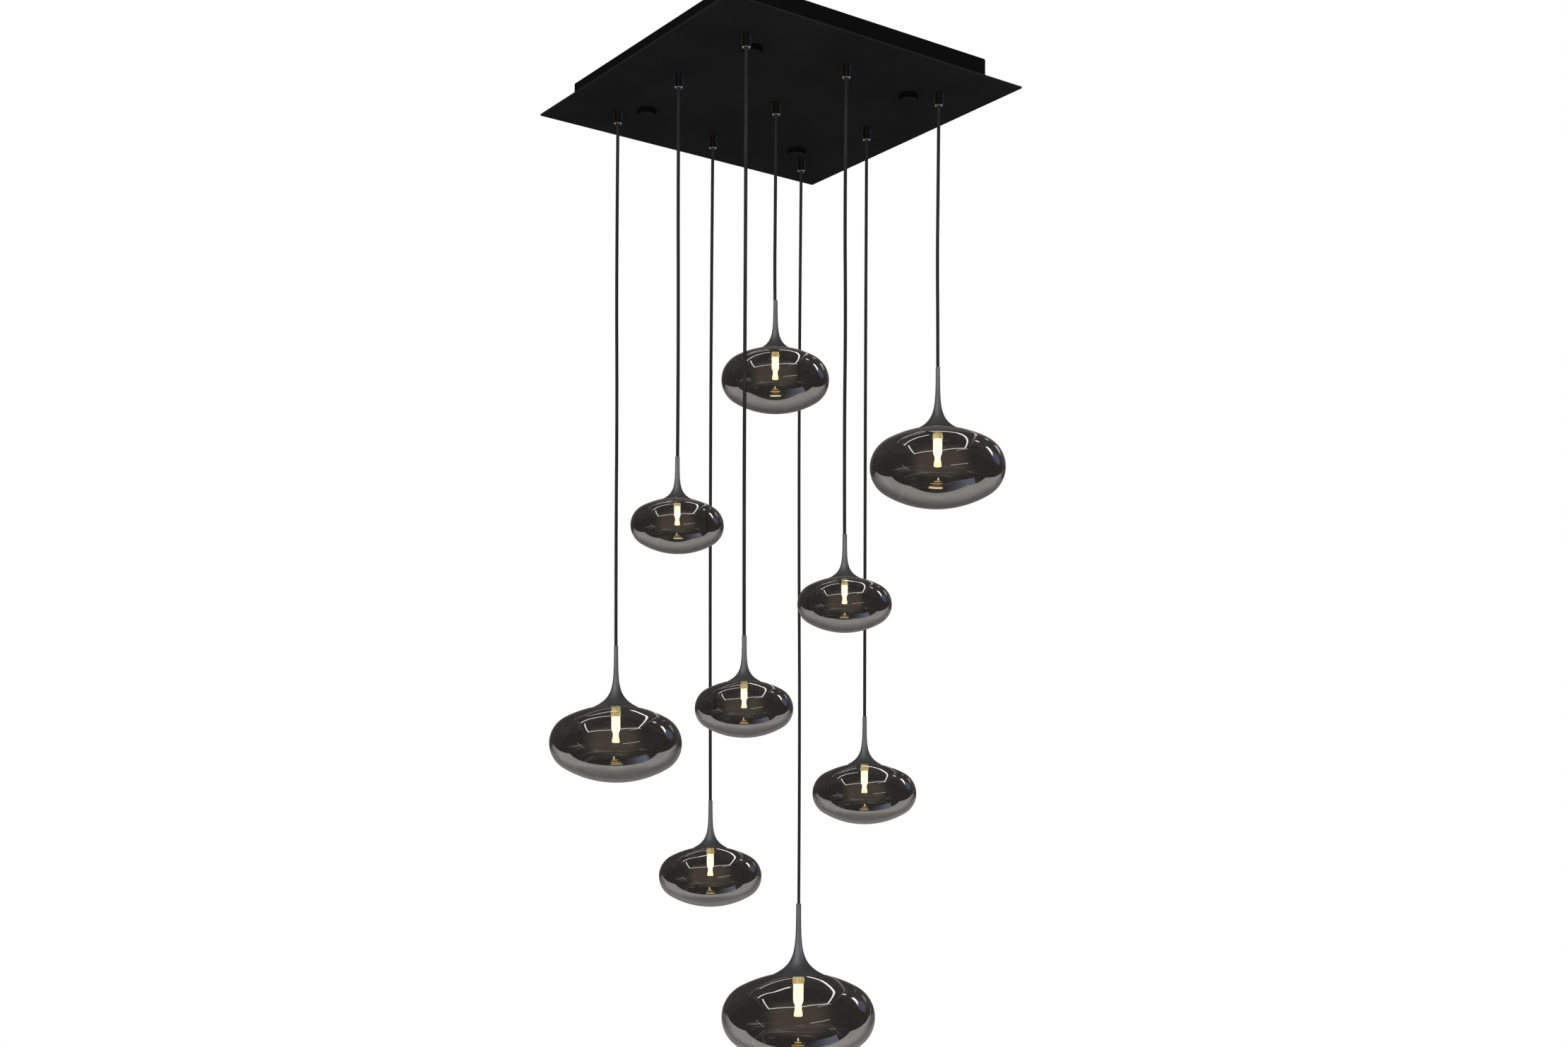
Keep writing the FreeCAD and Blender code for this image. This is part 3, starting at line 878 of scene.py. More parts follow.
class ShapeTree:
    """A Geometry Nodes tree in the making, from its named inputs to its dressed mesh."""

    def __init__(self, name: str, sizes: tuple[str, ...], blank: bool = False) -> None:
        """Make the tree and its sockets.

        Args:
            name: The tree's name.
            sizes: The names of its sizes.
            blank: Whether it also takes a mesh, as its first input.
        """
        self.tree = bpy.data.node_groups.new(name, "GeometryNodeTree")
        inputs = [("Blank", "Geometry")] if blank else []
        inputs += [(size, "Float") for size in sizes] + [("Material", "Material")]
        for label, kind in inputs:
            self.socket(label, "INPUT", kind)
        self.socket("Geometry", "OUTPUT", "Geometry")
        self.graph = Graph(self.tree)
        self.source = self.tree.nodes.new("NodeGroupInput")
        self.place = self.graph.node("GeometryNodeInputPosition")

    def socket(self, label: str, side: str, kind: str) -> None:
        """Add one input or output to the tree."""
        self.tree.interface.new_socket(label, in_out=side, socket_type=f"NodeSocket{kind}")

    def given(self, label: str) -> Wire:
        """One of the tree's inputs."""
        return Wire(self.graph, self.source.outputs[label])

    def moved(self, mesh: Wire, x: Wire, y: Wire, z: Wire) -> Wire:
        """A mesh with its points moved.

        Args:
            mesh: The mesh.
            x: New places along X.
            y: New places along Y.
            z: New places along Z.

        Returns:
            The moved mesh.
        """
        point = self.graph.node("ShaderNodeCombineXYZ", {}, {"X": x, "Y": y, "Z": z})
        inputs = {"Geometry": mesh, "Position": point}
        return self.graph.node("GeometryNodeSetPosition", {}, inputs)

    def finished(self, mesh: Wire) -> bpy.types.GeometryNodeTree:
        """Realize a mesh, give it its material and close the tree.

        Args:
            mesh: The mesh.

        Returns:
            The tree.
        """
        real = self.graph.node("GeometryNodeRealizeInstances", {}, {"Geometry": mesh})
        inputs = {"Geometry": real, "Material": self.given("Material")}
        dressed = self.graph.node("GeometryNodeSetMaterial", {}, inputs)
        self.graph.node("NodeGroupOutput", {}, {"Geometry": dressed})
        return self.tree


@dataclass
class FlaredNeck:
    """The neck's rule: a flare that decays up to a stem, outside and then back down inside."""

    rounds: int = 96
    rows: int = 121
    merge: float = 1e-5

    def tree(self) -> bpy.types.GeometryNodeTree:
        """Make the tree: a grid is rolled up, its rows running up the outside and down the bore.

        Returns:
            A tree with the neck's sizes and its material as named inputs.
        """
        sizes = ("Rim Radius", "Stem Radius", "Flare", "Height", "Wall", "Bore", "Foot",
                 "Centre X", "Centre Y")
        shape = ShapeTree("flared_neck", sizes)
        graph, given = shape.graph, shape.given
        grid = graph.node(
            "GeometryNodeMeshGrid",
            {},
            {"Size X": 1.0, "Size Y": 1.0, "Vertices X": self.rounds + 1, "Vertices Y": self.rows},
        )
        along = graph.part(shape.place, "Y") + 0.5
        inner = along.above(0.5)
        rising = (along * 2).least(1.0)
        falling = (2 - along * 2).least(1.0)
        share = rising * (1 - inner) + falling * inner
        height = given("Height") * share ** 2
        decay = math.e ** (-(height / given("Flare")))
        outer_radius = given("Stem Radius") + (given("Rim Radius") - given("Stem Radius")) * decay
        inner_radius = (outer_radius - given("Wall")).most(given("Bore"))
        radius = outer_radius * (1 - inner) + inner_radius * inner
        turn = graph.part(shape.place, "X") * (2 * math.pi)
        x = radius * turn.cosine() + given("Centre X")
        y = radius * turn.sine() + given("Centre Y")
        rolled = shape.moved(grid, x, y, height + given("Foot"))
        inputs = {"Geometry": rolled, "Distance": self.merge}
        return shape.finished(graph.node("GeometryNodeMergeByDistance", {}, inputs))


@dataclass
class KnurledNut:
    """The rule of a cover nut's rim: fine upright ridges that run out at both edges."""

    ridges: int = 48
    depth: float = 0.00035
    rim: float = 0.0004
    edge: tuple[float, float] = (0.001, 0.0018)

    def tree(self) -> bpy.types.GeometryNodeTree:
        """Make the tree.

        Returns:
            A tree whose inputs are the turned blank, the nut's sizes and its material.
        """
        sizes = ("Centre X", "Centre Y", "Radius", "Top", "Foot")
        shape = ShapeTree("knurled_nut", sizes, blank=True)
        graph, given = shape.graph, shape.given
        x = graph.part(shape.place, "X") - given("Centre X")
        y = graph.part(shape.place, "Y") - given("Centre Y")
        z = graph.part(shape.place, "Z")
        radius = (x * x + y * y).root()
        wave = abs((y.maths("ARCTAN2", y, x) * (self.ridges / 2)).sine())
        on_rim = radius.above(given("Radius") - self.rim)
        inside = (given("Top") - z).eased(*self.edge) * (z - given("Foot")).eased(*self.edge)
        cut = on_rim * inside * (1 - wave) * self.depth
        scale = 1 - cut / given("Radius")
        across, along = x * scale + given("Centre X"), y * scale + given("Centre Y")
        return shape.finished(shape.moved(given("Blank"), across, along, z))


def run_tree(host: bpy.types.Object, tree: bpy.types.GeometryNodeTree,
             values: dict[str, object]) -> bpy.types.Object:
    """Run a Geometry Nodes tree on an object and keep the result as a plain mesh.

    Args:
        host: The object that carries the modifier.
        tree: The tree.
        values: The tree's inputs, by name.

    Returns:
        The same object with the result as its mesh and no modifier.
    """
    modifier = host.modifiers.new(tree.name, "NODES")
    modifier.node_group = tree
    sockets = {
        item.name: item.identifier
        for item in tree.interface.items_tree
        if item.item_type == "SOCKET" and item.in_out == "INPUT"
    }
    for name, value in values.items():
        modifier[sockets[name]] = value
    host.update_tag()
    bpy.context.view_layer.update()
    seen = host.evaluated_get(bpy.context.evaluated_depsgraph_get())
    result = bpy.data.meshes.new_from_object(seen)
    host.modifiers.remove(modifier)
    old = host.data
    host.data = result
    bpy.data.meshes.remove(old)
    return host


# Steps round each turned piece, the sharpest smooth edges, and the small fittings' sizes.
FULL_TURN = 2 * math.pi
ROUND_STEPS, GLASS_STEPS, NUT_STEPS, GLASS_ARC_STEPS = 72, 128, 192, 22
SOFT_EDGE, HARD_EDGE = 50.0, 30.0
SWAY_SHARES = (0.26, 0.5, 0.74)
SHANK_STEP, SOCKET_EDGE, CHAMFER, ROUNDING = 0.0007, 0.0004, 0.0003, 0.0009
BEAD_SHARES, BEAD_HALF, BEAD_DEPTH = (0.22, 0.5, 0.78), 0.0005, 0.0003
CROWN_GAP, FLANGE_WALL, LEAF_WALL = 0.0001, 0.0008, 0.0006
LEAVES, LEAF_SWEEP = 3, math.radians(52)
GLASS_LIP = 0.0006
LAMP_PLAY, PIN_HALF, PIN_SHARE = 0.00015, 0.00035, 0.017
PIN_OUTLINE = ((-0.001, 0.0), (0.001, 0.0), (0.001, 0.0032), (0.0006, 0.0039),
               (-0.0006, 0.0039), (-0.001, 0.0032))
# The capsule's outline from its tip up: height and radius as shares of the globe's width.
LAMP_PROFILE = ((0.0, 0.0235), (0.0012, 0.0262), (0.004, 0.0281), (0.008, 0.0287),
                (0.016, 0.0284), (0.026, 0.0272), (0.038, 0.0247), (0.050, 0.0226),
                (0.062, 0.0217), (0.072, 0.0222), (0.082, 0.0246), (0.092, 0.0291),
                (0.100, 0.0322), (0.108, 0.0333), (0.12, 0.0335))


@dataclass
class Pendant:
    """One hanging lamp: cable, trumpet neck, holder with its spring crown, lamp and glass."""

    number: int
    column: int
    row: int
    size: GlobeSize
    drop: float
    lean: float
    sway: Triple

    def __post_init__(self) -> None:
        """Work out where the pendant hangs."""
        self.form = GlobeForm(self.size)
        self.x = self.column * GRID_PITCH
        self.y = self.row * GRID_PITCH
        self.centre = Vector((self.x, self.y, PLATE_UNDERSIDE - self.drop))
        self.body = f"pendant_{self.number}"

    def build(self, neck_tree: bpy.types.GeometryNodeTree) -> None:
        """Build and dress the five pieces.

        Args:
            neck_tree: The Geometry Nodes tree for the neck.
        """
        self.build_cable()
        self.build_neck(neck_tree)
        self.build_holder()
        self.build_lamp()
        self.build_glass()
        LOG.info("pendant %d: %s globe, drop %.3f m", self.number, self.size.name, self.drop)

    def build_cable(self) -> None:
        """The cable: one smooth line from the grip to the holder, with its slight sway."""
        top = SWING_Z + CABLE_HIDDEN
        foot = self.centre.z + self.form.seat
        start, end = Vector((self.x, self.y, top)), Vector((self.x, self.y, foot))
        swayed = zip(SWAY_SHARES, self.sway)
        points = [start, *(start.lerp(end, share) + ACROSS_VIEW * w for share, w in swayed), end]
        curve = bpy.data.curves.new(f"cable_line_{self.number}", "CURVE")
        curve.dimensions = "3D"
        spline = curve.splines.new("NURBS")
        spline.points.add(len(points) - 1)
        for control, point in zip(spline.points, points):
            control.co = (*point, 1.0)
        spline.order_u = 3
        spline.use_endpoint_u = True
        spline.resolution_u = 16
        curve.bevel_depth = CABLE_RADIUS
        curve.bevel_resolution = 5
        curve.use_fill_caps = True
        cable = in_scene(bpy.data.objects.new(f"hanging_cable_{self.number}", curve))
        seat(cable, self.body, "cable_black", CABLE, f"cable_{self.number}")
        top - foot

    def build_neck(self, tree: bpy.types.GeometryNodeTree) -> None:
        """The trumpet neck, from its rule.

        Args:
            tree: The rule's tree.
        """
        form = self.form
        host = bare_mesh(f"trumpet_neck_{self.number}", lambda work: None)
        run_tree(host, tree, {
            "Rim Radius": form.rim,
            "Stem Radius": form.stem,
            "Flare": form.flare,
            "Height": form.neck_height,
            "Wall": form.neck_wall,
            "Bore": form.neck_bore,
            "Foot": self.centre.z + form.neck_foot,
            "Centre X": self.x,
            "Centre Y": self.y,
            "Material": GUNMETAL.material(),
        })
        smoothed(host, SOFT_EDGE)
        seat(host, self.body, "neck_gunmetal", GUNMETAL, f"neck_{self.number}")

    def build_holder(self) -> None:
        """The lamp holder with its beads, and the spring crown above it."""
        form = self.form
        face, r, socket = form.holder_face, form.holder, form.socket
        band = form.band_share * form.width
        shank = r - SHANK_STEP
        steps = [(0.0, form.socket_top), (socket, form.socket_top), (socket, face + SOCKET_EDGE),
                 (socket + CHAMFER, face), (r - ROUNDING, face), (r - CHAMFER, face + CHAMFER),
                 (r, face + ROUNDING)]
        for share in BEAD_SHARES:
            z = face + share * band
            steps += [(r, z - BEAD_HALF), (r - BEAD_DEPTH, z), (r, z + BEAD_HALF)]
        steps += [(r, face + band), (shank, face + band + SHANK_STEP),
                  (shank, form.seat), (0.0, form.seat)]
        body = lathe(f"holder_body_{self.number}", steps, self.centre, ROUND_STEPS)
        seat(body, self.body, "holder_gold", HOLDER_GOLD, f"lamp_holder_{self.number}")
        seat(self.spring_crown(), self.body, "holder_gold", SPRING)

    def spring_crown(self) -> bpy.types.Object:
        """The crown's flange and its three leaves, bowed outwards towards the collar.

        Returns:
            The crown.
        """
        form = self.form
        outer = form.collar - form.wall - CROWN_GAP
        base = form.collar_top + form.neck_gap
        sleeve = form.holder - SHANK_STEP

        def slab(work: bmesh.types.BMesh, radii: tuple[float, float],
                 heights: tuple[float, float], start: float, span: float, steps: int) -> None:
            """One curved slab.

            Args:
                work: The mesh that it is added to.
                radii: Its inner and outer radius.
                heights: Its lowest and highest level.
                start: Start angle.
                span: The angle that it takes up, a full turn for a ring.
                steps: Steps along it.
            """
            closed = span == FULL_TURN
            count = steps if closed else steps + 1
            corners = [(radii[0], heights[0]), (radii[1], heights[0]),
                       (radii[1], heights[1]), (radii[0], heights[1])]
            loops = []
            for k in range(count):
                a = start + span * k / steps
                loops.append([
                    work.verts.new(self.centre + Vector((q * math.cos(a), q * math.sin(a), z)))
                    for q, z in corners
                ])
            for k in range(steps):
                bridge(work, loops[k], loops[(k + 1) % count])
            if not closed:
                work.faces.new(loops[0])
                work.faces.new(loops[-1][::-1])

        def build(work: bmesh.types.BMesh) -> None:
            """The flange and the leaves.

            Args:
                work: The mesh.
            """
            slab(work, (sleeve, outer), (base, base + FLANGE_WALL), 0.0, FULL_TURN, ROUND_STEPS)
            for k in range(LEAVES):
                slab(work, (outer - LEAF_WALL, outer), (form.collar_foot, base),
                     FULL_TURN * k / LEAVES, LEAF_SWEEP, 16)

        return smoothed(bare_mesh(f"spring_crown_{self.number}", build), HARD_EDGE)

    def build_lamp(self) -> None:
        """The lit capsule with its collar and two flat pins."""
        form = self.form
        w, tip, face, top = form.width, form.tip, form.holder_face, form.socket_top
        socket = form.socket - LAMP_PLAY
        outline = [(0.0, tip)] + [(r * w, tip + h * w) for h, r in LAMP_PROFILE]
        outline += [(form.lamp_share * w, face - ROUNDING),
                    (form.lamp_top_share * w, face - LAMP_PLAY),
                    (socket, face - LAMP_PLAY), (socket, top), (0.0, top)]
        hints = [(z - tip) / (top - tip) for _, z in outline]
        capsule = lathe(f"lamp_capsule_{self.number}", outline, self.centre, ROUND_STEPS, hints)
        seat(capsule, self.body, "lamp_glow", LAMP_LIT, f"lamp_{self.number}")

        def build(work: bmesh.types.BMesh) -> None:
            """Two flat pins with rounded ends.

            Args:
                work: The mesh.
            """
            for side in (-1, 1):
                middle = self.centre + Vector((side * PIN_SHARE * w, 0, top))
                near, far = (
                    [work.verts.new(middle + Vector((t, y, z))) for y, z in PIN_OUTLINE]
                    for t in (-PIN_HALF, PIN_HALF)
                )
                work.faces.new(near)
                work.faces.new(far[::-1])
                bridge(work, near, far)

        pins = smoothed(bare_mesh(f"lamp_pins_{self.number}", build), HARD_EDGE)
        seat(pins, self.body, "lamp_glow", ZINC)

    def build_glass(self) -> None:
        """The blown shell with its collar, as one closed wall."""
        form = self.form
        upper, lower = form.upper_share * form.width, form.lower_share * form.width
        top, bore = form.collar_top, form.collar - form.wall
        outline = form.quarter(lower, 0.0, 0.0, -1, GLASS_ARC_STEPS)[::-1]
        outline += form.quarter(upper, 0.0, form.collar, 1, GLASS_ARC_STEPS)[1:]
        outline += [(form.collar, top - GLASS_LIP), (form.collar - GLASS_LIP, top),
                    (bore + GLASS_LIP, top), (bore, top - GLASS_LIP)]
        outline += form.quarter(upper, form.wall, bore, 1, GLASS_ARC_STEPS)[::-1]
        outline += form.quarter(lower, form.wall, 0.0, -1, GLASS_ARC_STEPS)[1:]
        hints = [(z + lower) / (upper + lower) for _, z in outline]
        glass = lathe(f"smoke_globe_{self.number}", outline, self.centre, GLASS_STEPS, hints)
        lean = glass.data.attributes.new("lean", "FLOAT_VECTOR", "POINT")
        turn = ACROSS_VIEW * math.radians(self.lean)
        lean.data.foreach_set("vector", [*turn] * len(glass.data.vertices))
        mirror = glass.data.attributes.new("mirror", "FLOAT", "POINT")
        outer = [float(v.normal.dot(v.co - self.centre) > 0) for v in glass.data.vertices]
        mirror.data.foreach_set("value", outer)
        seat(glass, f"globe_{self.number}", "smoked_glass", SMOKE, f"glass_{self.number}")


@dataclass
class CoverNuts:
    """The four round nuts that hold the cover plate, with fine ridges round their rims."""

    radius: float = 0.0137
    height: float = 0.0085
    bore: float = 0.00305
    bore_depth: float = 0.0065

    def build(self) -> None:
        """Turn each blank, cut its rim and dress it."""
        tree = KnurledNut().tree()
        places = [(sx * STUD_REACH, sy * STUD_REACH) for sx in (-1, 1) for sy in (-1, 1)]
        for number, (x, y) in enumerate(places, 1):
            low, r = -self.height, self.radius
            outline = [(0.0, -self.bore_depth), (self.bore, -self.bore_depth), (self.bore, 0.0),
                       (r - 0.0006, 0.0), (r, -0.0006), (r, -0.0016), (r, -0.0022),
                       (r, low + 0.0030), (r, low + 0.0024), (r, low + 0.0018),
                       (r - 0.0004, low + 0.0010), (r - 0.001, low + 0.0006),
                       (r * 0.7, low + 0.0003), (r * 0.4, low + 0.0001), (0.0, low)]
            centre = Vector((x, y, PLATE_UNDERSIDE))
            nut = lathe(f"ridged_nut_{number}", outline, centre, NUT_STEPS)
            run_tree(nut, tree, {
                "Centre X": x,
                "Centre Y": y,
                "Radius": r,
                "Top": PLATE_UNDERSIDE,
                "Foot": PLATE_UNDERSIDE + low,
                "Material": NUT_BLACK.material(),
            })
            smoothed(nut, SOFT_EDGE)
            seat(nut, f"nut_{number}", "cover_nut_black", NUT_BLACK, f"cover_nut_{number}")


@dataclass
class CeilingPlate:
    """The housing and its cover, the grips under it, and the wiring inside."""

    finishes: tuple[tuple[Finish, tuple[str, ...]], ...] = (
        (HOUSING, ("ceiling_housing",)),
        (COVER, ("cover_plate",)),
        (GRIP_BLACK, ("cable_grips", "grip_screws")),
        (ZINC, ("cover_studs", "lock_nuts")),
        (PALE_PLASTIC, ("lamp_connectors", "supply_block")),
        (CABLE, ("inner_leads",)),
        (BRASS, ("earth_terminal",)),
        (RUBBER, ("entry_bushing",)),
    )

    def build(self) -> None:
        """Dress the CAD nodes, whose shapes are right."""
        for finish, nodes in self.finishes:
            dress_nodes(finish, *nodes)


@dataclass
class MirrorRoom:
    """What polished surfaces see: a dark studio with a pale sweep, light frames and glints.

    Directions are counted from the view: X to the right, Y ahead and Z up. The light frames are
    given where their lines cross a plane overhead.
    """

    graph: Graph
    way: Wire
    dark: Triple = (0.075, 0.073, 0.066)
    front_glow: Triple = (0.25, 0.21, 0.165)
    ledge_glow: Triple = (0.72, 0.68, 0.60)
    rim_glow: Triple = (0.13, 0.125, 0.115)
    blue_pane: Triple = (0.47, 0.51, 0.70)
    sweep_near: Triple = (1.10, 1.08, 1.02)
    sweep_far: Triple = (0.20, 0.195, 0.185)
    frame_white: Triple = (4.8, 4.8, 4.95)
    frame_half: float = 0.014
    streak_half: float = 0.011
    frame_lines: tuple[tuple[float, ...], ...] = (
        (-0.76, 0.07, -0.09, 0.43, 1.0),
        (0.03, 1.23, 0.24, 0.94, 0.9),
        (0.24, 0.94, 0.79, -0.54, 1.0),
        (0.79, -0.54, 0.05, -1.20, 1.0),
        (0.90, -0.50, 0.66, -1.02, 0.35),
        (0.05, -1.20, -1.30, -1.22, 0.9),
        (-1.30, -1.22, -0.71, -0.10, 0.9),
        (-0.42, 0.71, -0.08, 0.92, 0.35),
    )
    streaks: tuple[tuple[Triple, Triple, float], ...] = (
        ((0.298, -0.927, -0.230), (0.725, -0.687, -0.045), 0.55),
        ((-0.896, -0.432, -0.106), (-0.747, -0.527, -0.405), 0.2),
        ((0.804, 0.531, -0.268), (0.610, 0.788, 0.084), 0.12),
    )
    glints: tuple[tuple[Triple, Triple, float, Triple], ...] = (
        ((0.0, -0.20, -0.98), (0.0, 0.15, -0.98), 0.050, (0.42, 0.25, 0.10)),
        ((0.0, -0.44, -0.91), (0.0, -0.26, -0.96), 0.014, (4.2, 3.6, 2.4)),
        ((-0.045, -0.17, -0.98), (0.045, -0.17, -0.98), 0.026, (3.2, 2.1, 0.9)),
        ((-0.075, 0.03, -1.0), (0.075, 0.03, -1.0), 0.028, (2.5, 1.6, 0.65)),
        ((-0.075, 0.19, -0.98), (0.075, 0.19, -0.98), 0.028, (3.6, 3.1, 2.2)),
        ((0.700, 0.370, 0.610), (0.860, 0.320, 0.390), 0.042, (6.5, 6.5, 7.0)),
        ((0.880, 0.320, 0.360), (0.900, 0.350, 0.260), 0.030, (2.2, 2.2, 2.9)),
    )
    spots: tuple[tuple[Triple, float, Triple], ...] = (
        ((0.850, 0.430, 0.300), 0.17, (0.27, 0.27, 0.48)),
        ((0.525, 0.374, 0.765), 0.038, (4.0, 4.0, 4.3)),
    )

    def colour(self) -> Wire:
        """The colour that a mirrored ray meets.

        Returns:
            The colour.
        """
        graph = self.graph
        side, ahead, up = (graph.part(self.way, axis) for axis in "XYZ")
        fade = graph.mix(ahead.eased(0.42, 0.86), self.sweep_near, self.sweep_far)
        room = self.dark
        for mask, shade in (
            (self.front(side, ahead), self.front_glow),
            (self.ledges(ahead, up), self.ledge_glow),
            (self.rim(ahead, up), self.rim_glow),
            (self.patch(side, ahead, up), self.blue_pane),
            (self.sweep(side, ahead, up), fade),
            (self.frames(), self.frame_white),
        ):
            room = graph.mix(mask, room, shade)
        for start, end, half, shade in self.glints:
            room = graph.mix(self.line_glow(Vector(start), Vector(end), half), room, shade)
        for spot, wide, shade in self.spots:
            near = self.towards(Vector(spot).normalized())
            room = graph.mix(near.eased(math.cos(wide * 1.3), math.cos(wide * 0.7)), room, shade)
        return room

    def satin(self) -> Wire:
        """What satin surfaces see: a broad light to the viewer's left and a pane to the right.

        Returns:
            The colour.
        """
        key = self.towards(Vector((-0.45, -0.86, 0.24))).eased(0.3, 0.96)
        pane = self.towards(Vector((0.93, -0.33, 0.16))).eased(0.93, 0.985)
        room = self.graph.mix(key, (0.05, 0.05, 0.052), (0.95, 0.95, 0.97))
        return self.graph.mix(pane, room, (1.7, 1.7, 1.75))

    def frames(self) -> Wire:
        """The white lines of the light frames and the streaks below them.

        Returns:
            The mask.
        """
        lines = [
            (Vector((*line[:2], 1.0)), Vector((*line[2:4], 1.0)), self.frame_half, line[4])
            for line in self.frame_lines
        ]
        lines += [(Vector(a), Vector(b), self.streak_half, level) for a, b, level in self.streaks]
        masks = [self.line_glow(start, end, half) * level for start, end, half, level in lines]
        return reduce(Wire.most, masks)

    def front(self, side: Wire, ahead: Wire) -> Wire:
        """The warm glow from behind the viewer, as a mask."""
        return (-ahead).eased(0.3, 0.85) * (1 - abs(side).eased(0.42, 0.95))

    def ledges(self, ahead: Wire, up: Wire) -> Wire:
        """Faint level lines low down behind the viewer, as a mask."""
        lines = self.graph.noise(self.graph.stretched(self.way, (1.5, 1.5, 13.0)), 1.0, 1.0)
        return lines.eased(0.55, 0.75) * (-ahead).eased(0.0, 0.4) * (-up).eased(0.1, 0.3) * 0.8

    def rim(self, ahead: Wire, up: Wire) -> Wire:
        """The faint light just over the horizon ahead, as a mask."""
        return ahead.eased(0.8, 0.97) * up.eased(0.03, 0.16)

    def patch(self, side: Wire, ahead: Wire, up: Wire) -> Wire:
        """A bluish pane below and to the right, with straight edges on a plane underfoot.

        Args:
            side: The direction's part to the right.
            ahead: Its part ahead.
            up: Its part upwards.

        Returns:
            The mask.
        """
        down = (-up).most(0.001)
        across, along = side / down, ahead / down
        right = (0.89 - across - along * 0.584).eased(0.0, 0.03)
        left = (across + along * 0.31 - 0.1).eased(0.0, 0.6)
        near, far = (along + 0.25).eased(0.0, 0.04), (0.62 - along).eased(0.0, 0.05)
        return right * near * left * far * (-up).eased(0.2, 0.3)

    def sweep(self, side: Wire, ahead: Wire, up: Wire) -> Wire:
        """The pale sweep that rises ahead from below.

        Args:
            side: The direction's part to the right.
            ahead: Its part ahead.
            up: Its part upwards.

        Returns:
            The mask.
        """
        down = (-up).most(0.0)
        aside = (side * side + 0.03).root() - 0.12
        reach = (ahead - 0.37 + aside * 0.35).least(ahead - aside * 1.05 + down * 1.3)
        return reach.eased(-0.015, 0.02) * (-up).eased(0.0, 0.08)

    def towards(self, aim: Vector) -> Wire:
        """The direction's part along an aim."""
        return self.graph.vectors("DOT_PRODUCT", self.way, aim, out="Value")

    def line_glow(self, start: Vector, end: Vector, half: float) -> Wire:
        """1 on a straight light between two directions, 0 away from it.

        Args:
            start: One end.
            end: The other end.
            half: Half the light's width, as an angle.

        Returns:
            The mask.
        """
        pole = start.cross(end).normalized()
        before = self.towards(pole.cross(start).normalized())
        after = self.towards(end.cross(pole).normalized())
        off = abs(self.towards(pole)).eased(half * 0.55, half * 1.45)
        return (1 - off) * before.least(after).eased(-half, 0.0)


@dataclass(frozen=True)
class SoftLamp:
    """A square lamp that lights the object but shows in no mirror and through no glass."""

    name: str
    place: Triple
    aim: Triple
    wide: float
    watts: float

    def build(self) -> None:
        """Put the lamp in the scene, turned to its aim."""
        data = bpy.data.lights.new(self.name, "AREA")
        data.shape = "SQUARE"
        data.size = self.wide
        data.energy = self.watts
        lamp = in_scene(bpy.data.objects.new(self.name, data))
        lamp.location = self.place
        way = Vector(self.aim) - Vector(self.place)
        lamp.rotation_euler = way.to_track_quat("-Z", "Y").to_euler()
        lamp.visible_glossy = False
        lamp.visible_transmission = False


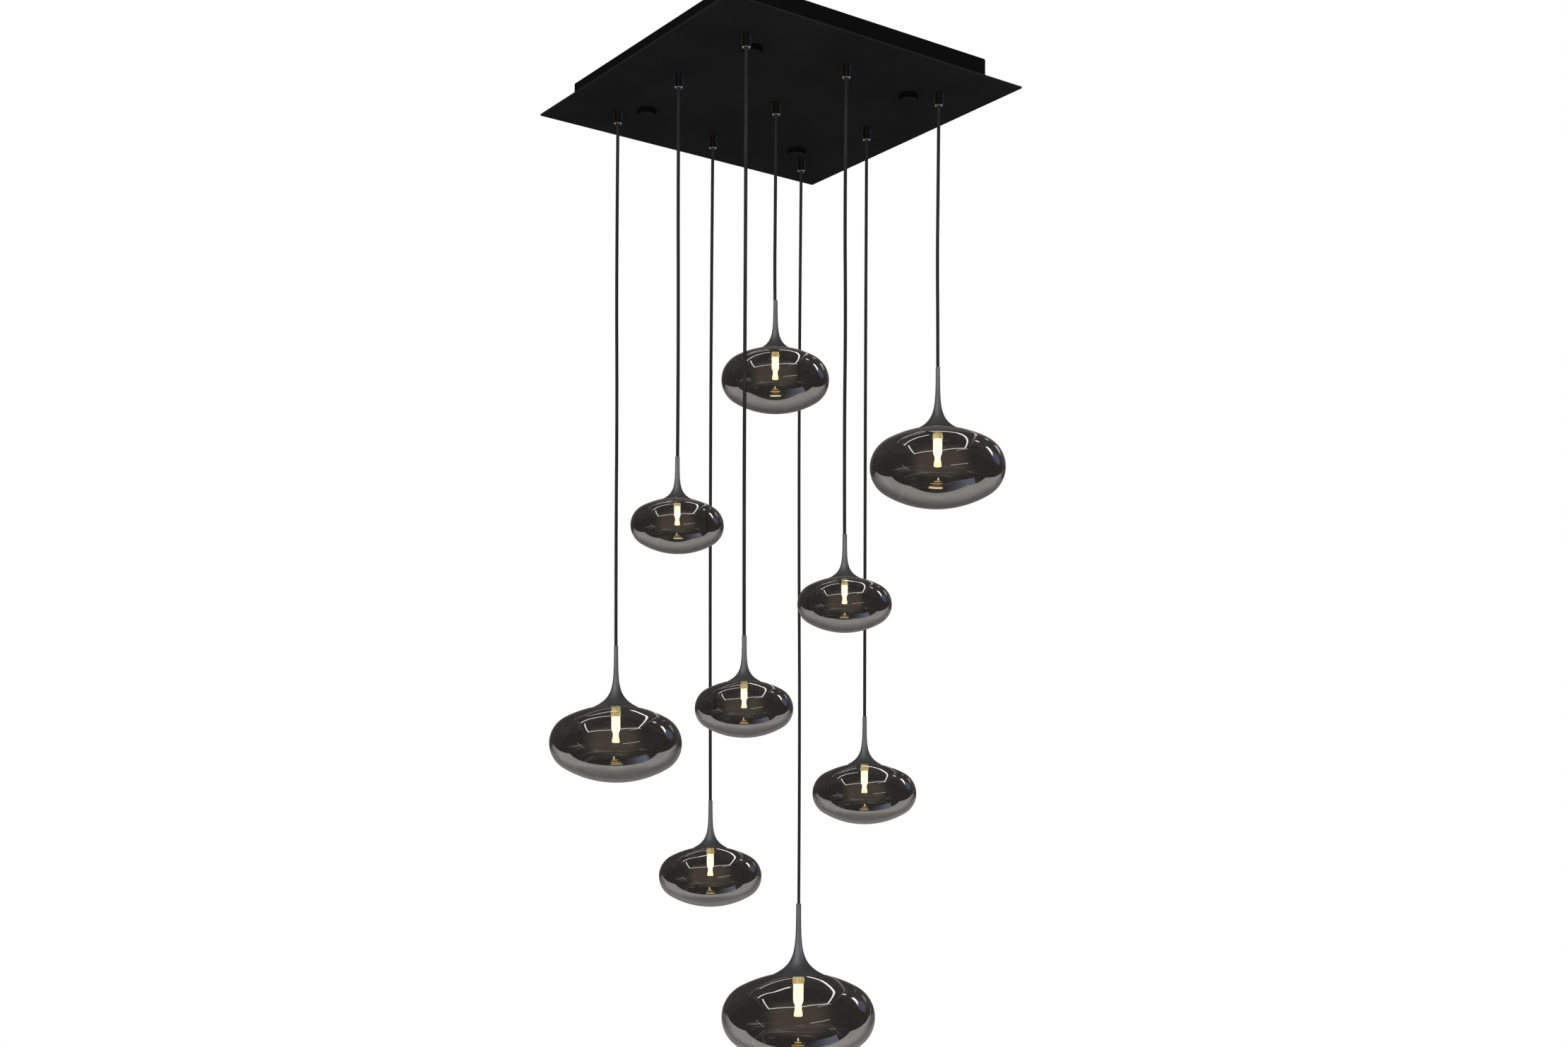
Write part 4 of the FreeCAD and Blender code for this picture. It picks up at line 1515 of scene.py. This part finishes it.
@dataclass
class Studio:
    """The camera at the photograph's place, plain soft light, a pale floor and the background."""

    yaw: float = VIEW_YAW
    focal_px: float = 2580.07
    image_width: int = 2220
    image_height: int = 1482
    axis_x: float = 1135.3
    roll: float = math.radians(-0.2)
    horizon_y: float = 1145.98
    place: Triple = (-1.5256, -2.1550, -1.0693)
    sensor_mm: float = 36.0
    floor_z: float = -2.2
    floor_reach: float = 3.0
    floor_white: tuple[float, float] = (1.1, 2.8)
    daylight: float = 0.55
    lamps: tuple[SoftLamp, ...] = (
        SoftLamp("key", (-3.1, -1.5, 0.1), (0, 0, -0.8), 1.8, 52),
        SoftLamp("fill", (0.6, -3.2, -1.2), (0, 0, -0.8), 1.8, 18),
        SoftLamp("back", (1.4, 2.6, 1.0), (0, 0, -0.6), 1.4, 16),
    )

    def build(self) -> None:
        """Make the camera, the world, the lamps and the floor."""
        self.build_camera()
        self.build_world()
        for lamp in self.lamps:
            lamp.build()
        self.build_floor()
        bpy.context.scene.view_settings.view_transform = "Standard"

    def build_camera(self) -> None:
        """A level camera, shifted up as the photograph's is."""
        data = bpy.data.cameras.new("view")
        data.sensor_width = self.sensor_mm
        data.lens = self.sensor_mm * self.focal_px / self.image_width
        data.shift_x = (self.image_width / 2 - self.axis_x) / self.image_width
        data.shift_y = (self.horizon_y - self.image_height / 2) / self.image_width
        data.clip_start = 0.05
        camera = in_scene(bpy.data.objects.new("view", data))
        camera.location = self.place
        camera.rotation_euler = (math.pi / 2, self.roll, -self.yaw)
        bpy.context.scene.camera = camera

    def build_world(self) -> None:
        """White behind everything, a dark studio for mirrors and plain daylight for the rest."""
        world = bpy.data.worlds.new("studio")
        bpy.context.scene.world = world
        world.use_nodes = True
        graph = Graph(world.node_tree)
        way = graph.node("ShaderNodeTexCoord", out="Generated")
        turned = graph.node("ShaderNodeMapping", {}, {"Vector": way, "Rotation": (0, 0, self.yaw)})
        room = MirrorRoom(graph, turned)
        colour = graph.mix(graph.is_ray("Glossy"), (self.daylight,) * 3, room.satin())
        colour = graph.mix(graph.is_ray("Singular"), colour, room.colour())
        clear = graph.is_ray("Camera").most(graph.is_ray("Transmission"))
        colour = graph.mix(clear, colour, WHITE)
        back = graph.node("ShaderNodeBackground", {}, {"Color": colour, "Strength": 1.0})
        graph.node("ShaderNodeOutputWorld", {}, {"Surface": back})

    def build_floor(self) -> None:
        """A pale floor below the lowest globe, which takes the shadows and fades to white."""
        finish = bpy.data.materials.new("pale_floor")
        finish.use_nodes = True
        graph = Graph(finish.node_tree)
        place = graph.object_point()
        east, north = (graph.part(place, axis) for axis in "XY")
        fade = (east * east + north * north).root().eased(*self.floor_white)
        shown = graph.is_ray("Camera") * (0.7 + fade * 0.3)
        paint = graph.node("ShaderNodeBsdfDiffuse", {}, {"Color": (0.9, 0.9, 0.9, 1.0)})
        white = graph.node("ShaderNodeEmission", {}, {"Color": rgba(WHITE)})
        mixed = graph.node("ShaderNodeMixShader", {}, {0: shown, 1: paint, 2: white})
        graph.node("ShaderNodeOutputMaterial", {}, {"Surface": mixed})

        def build(work: bmesh.types.BMesh) -> None:
            """One square face.

            Args:
                work: The mesh.
            """
            r, z = self.floor_reach, self.floor_z
            corners = [(-r, -r, z), (r, -r, z), (r, r, z), (-r, r, z)]
            work.faces.new([work.verts.new(c) for c in corners])

        floor = bare_mesh("pale_floor", build)
        floor.data.materials.append(finish)
        floor.visible_glossy = False


PENDANTS = (
    Pendant(1, -1, 1, GlobeSize.LARGE, 0.9280, 2.3, (-0.0014, 0.0002, -0.0008)),
    Pendant(2, -1, 0, GlobeSize.SMALL, 0.6290, -5.1, (-0.0004, 0.0004, 0.0006)),
    Pendant(3, 0, 1, GlobeSize.MEDIUM, 1.1260, 7.2, (-0.0016, -0.0018, -0.0014)),
    Pendant(4, -1, -1, GlobeSize.SMALL, 0.8910, 1.0, (-0.0002, -0.0006, -0.0009)),
    Pendant(5, 0, 0, GlobeSize.MEDIUM, 0.4025, -7.5, (-0.0006, -0.0009, -0.0014)),
    Pendant(6, 1, 1, GlobeSize.EXTRA_LARGE, 1.3510, 7.8, (-0.0020, -0.0014, 0.0010)),
    Pendant(7, 0, -1, GlobeSize.SMALL, 0.7420, -2.8, (-0.0016, 0.0002, -0.0012)),
    Pendant(8, 1, 0, GlobeSize.MEDIUM, 0.9995, 4.2, (-0.0004, -0.0005, -0.0002)),
    Pendant(9, 1, -1, GlobeSize.LARGE, 0.5350, -7.3, (-0.0006, -0.0014, -0.0002)),
)


def main() -> None:
    """Build the studio and every piece of the pendant."""
    logging.basicConfig(level=logging.INFO, format="%(message)s")
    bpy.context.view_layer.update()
    Studio().build()
    neck_tree = FlaredNeck().tree()
    for pendant in PENDANTS:
        pendant.build(neck_tree)
    CoverNuts().build()
    CeilingPlate().build()


if __name__ == "__main__":
    main()
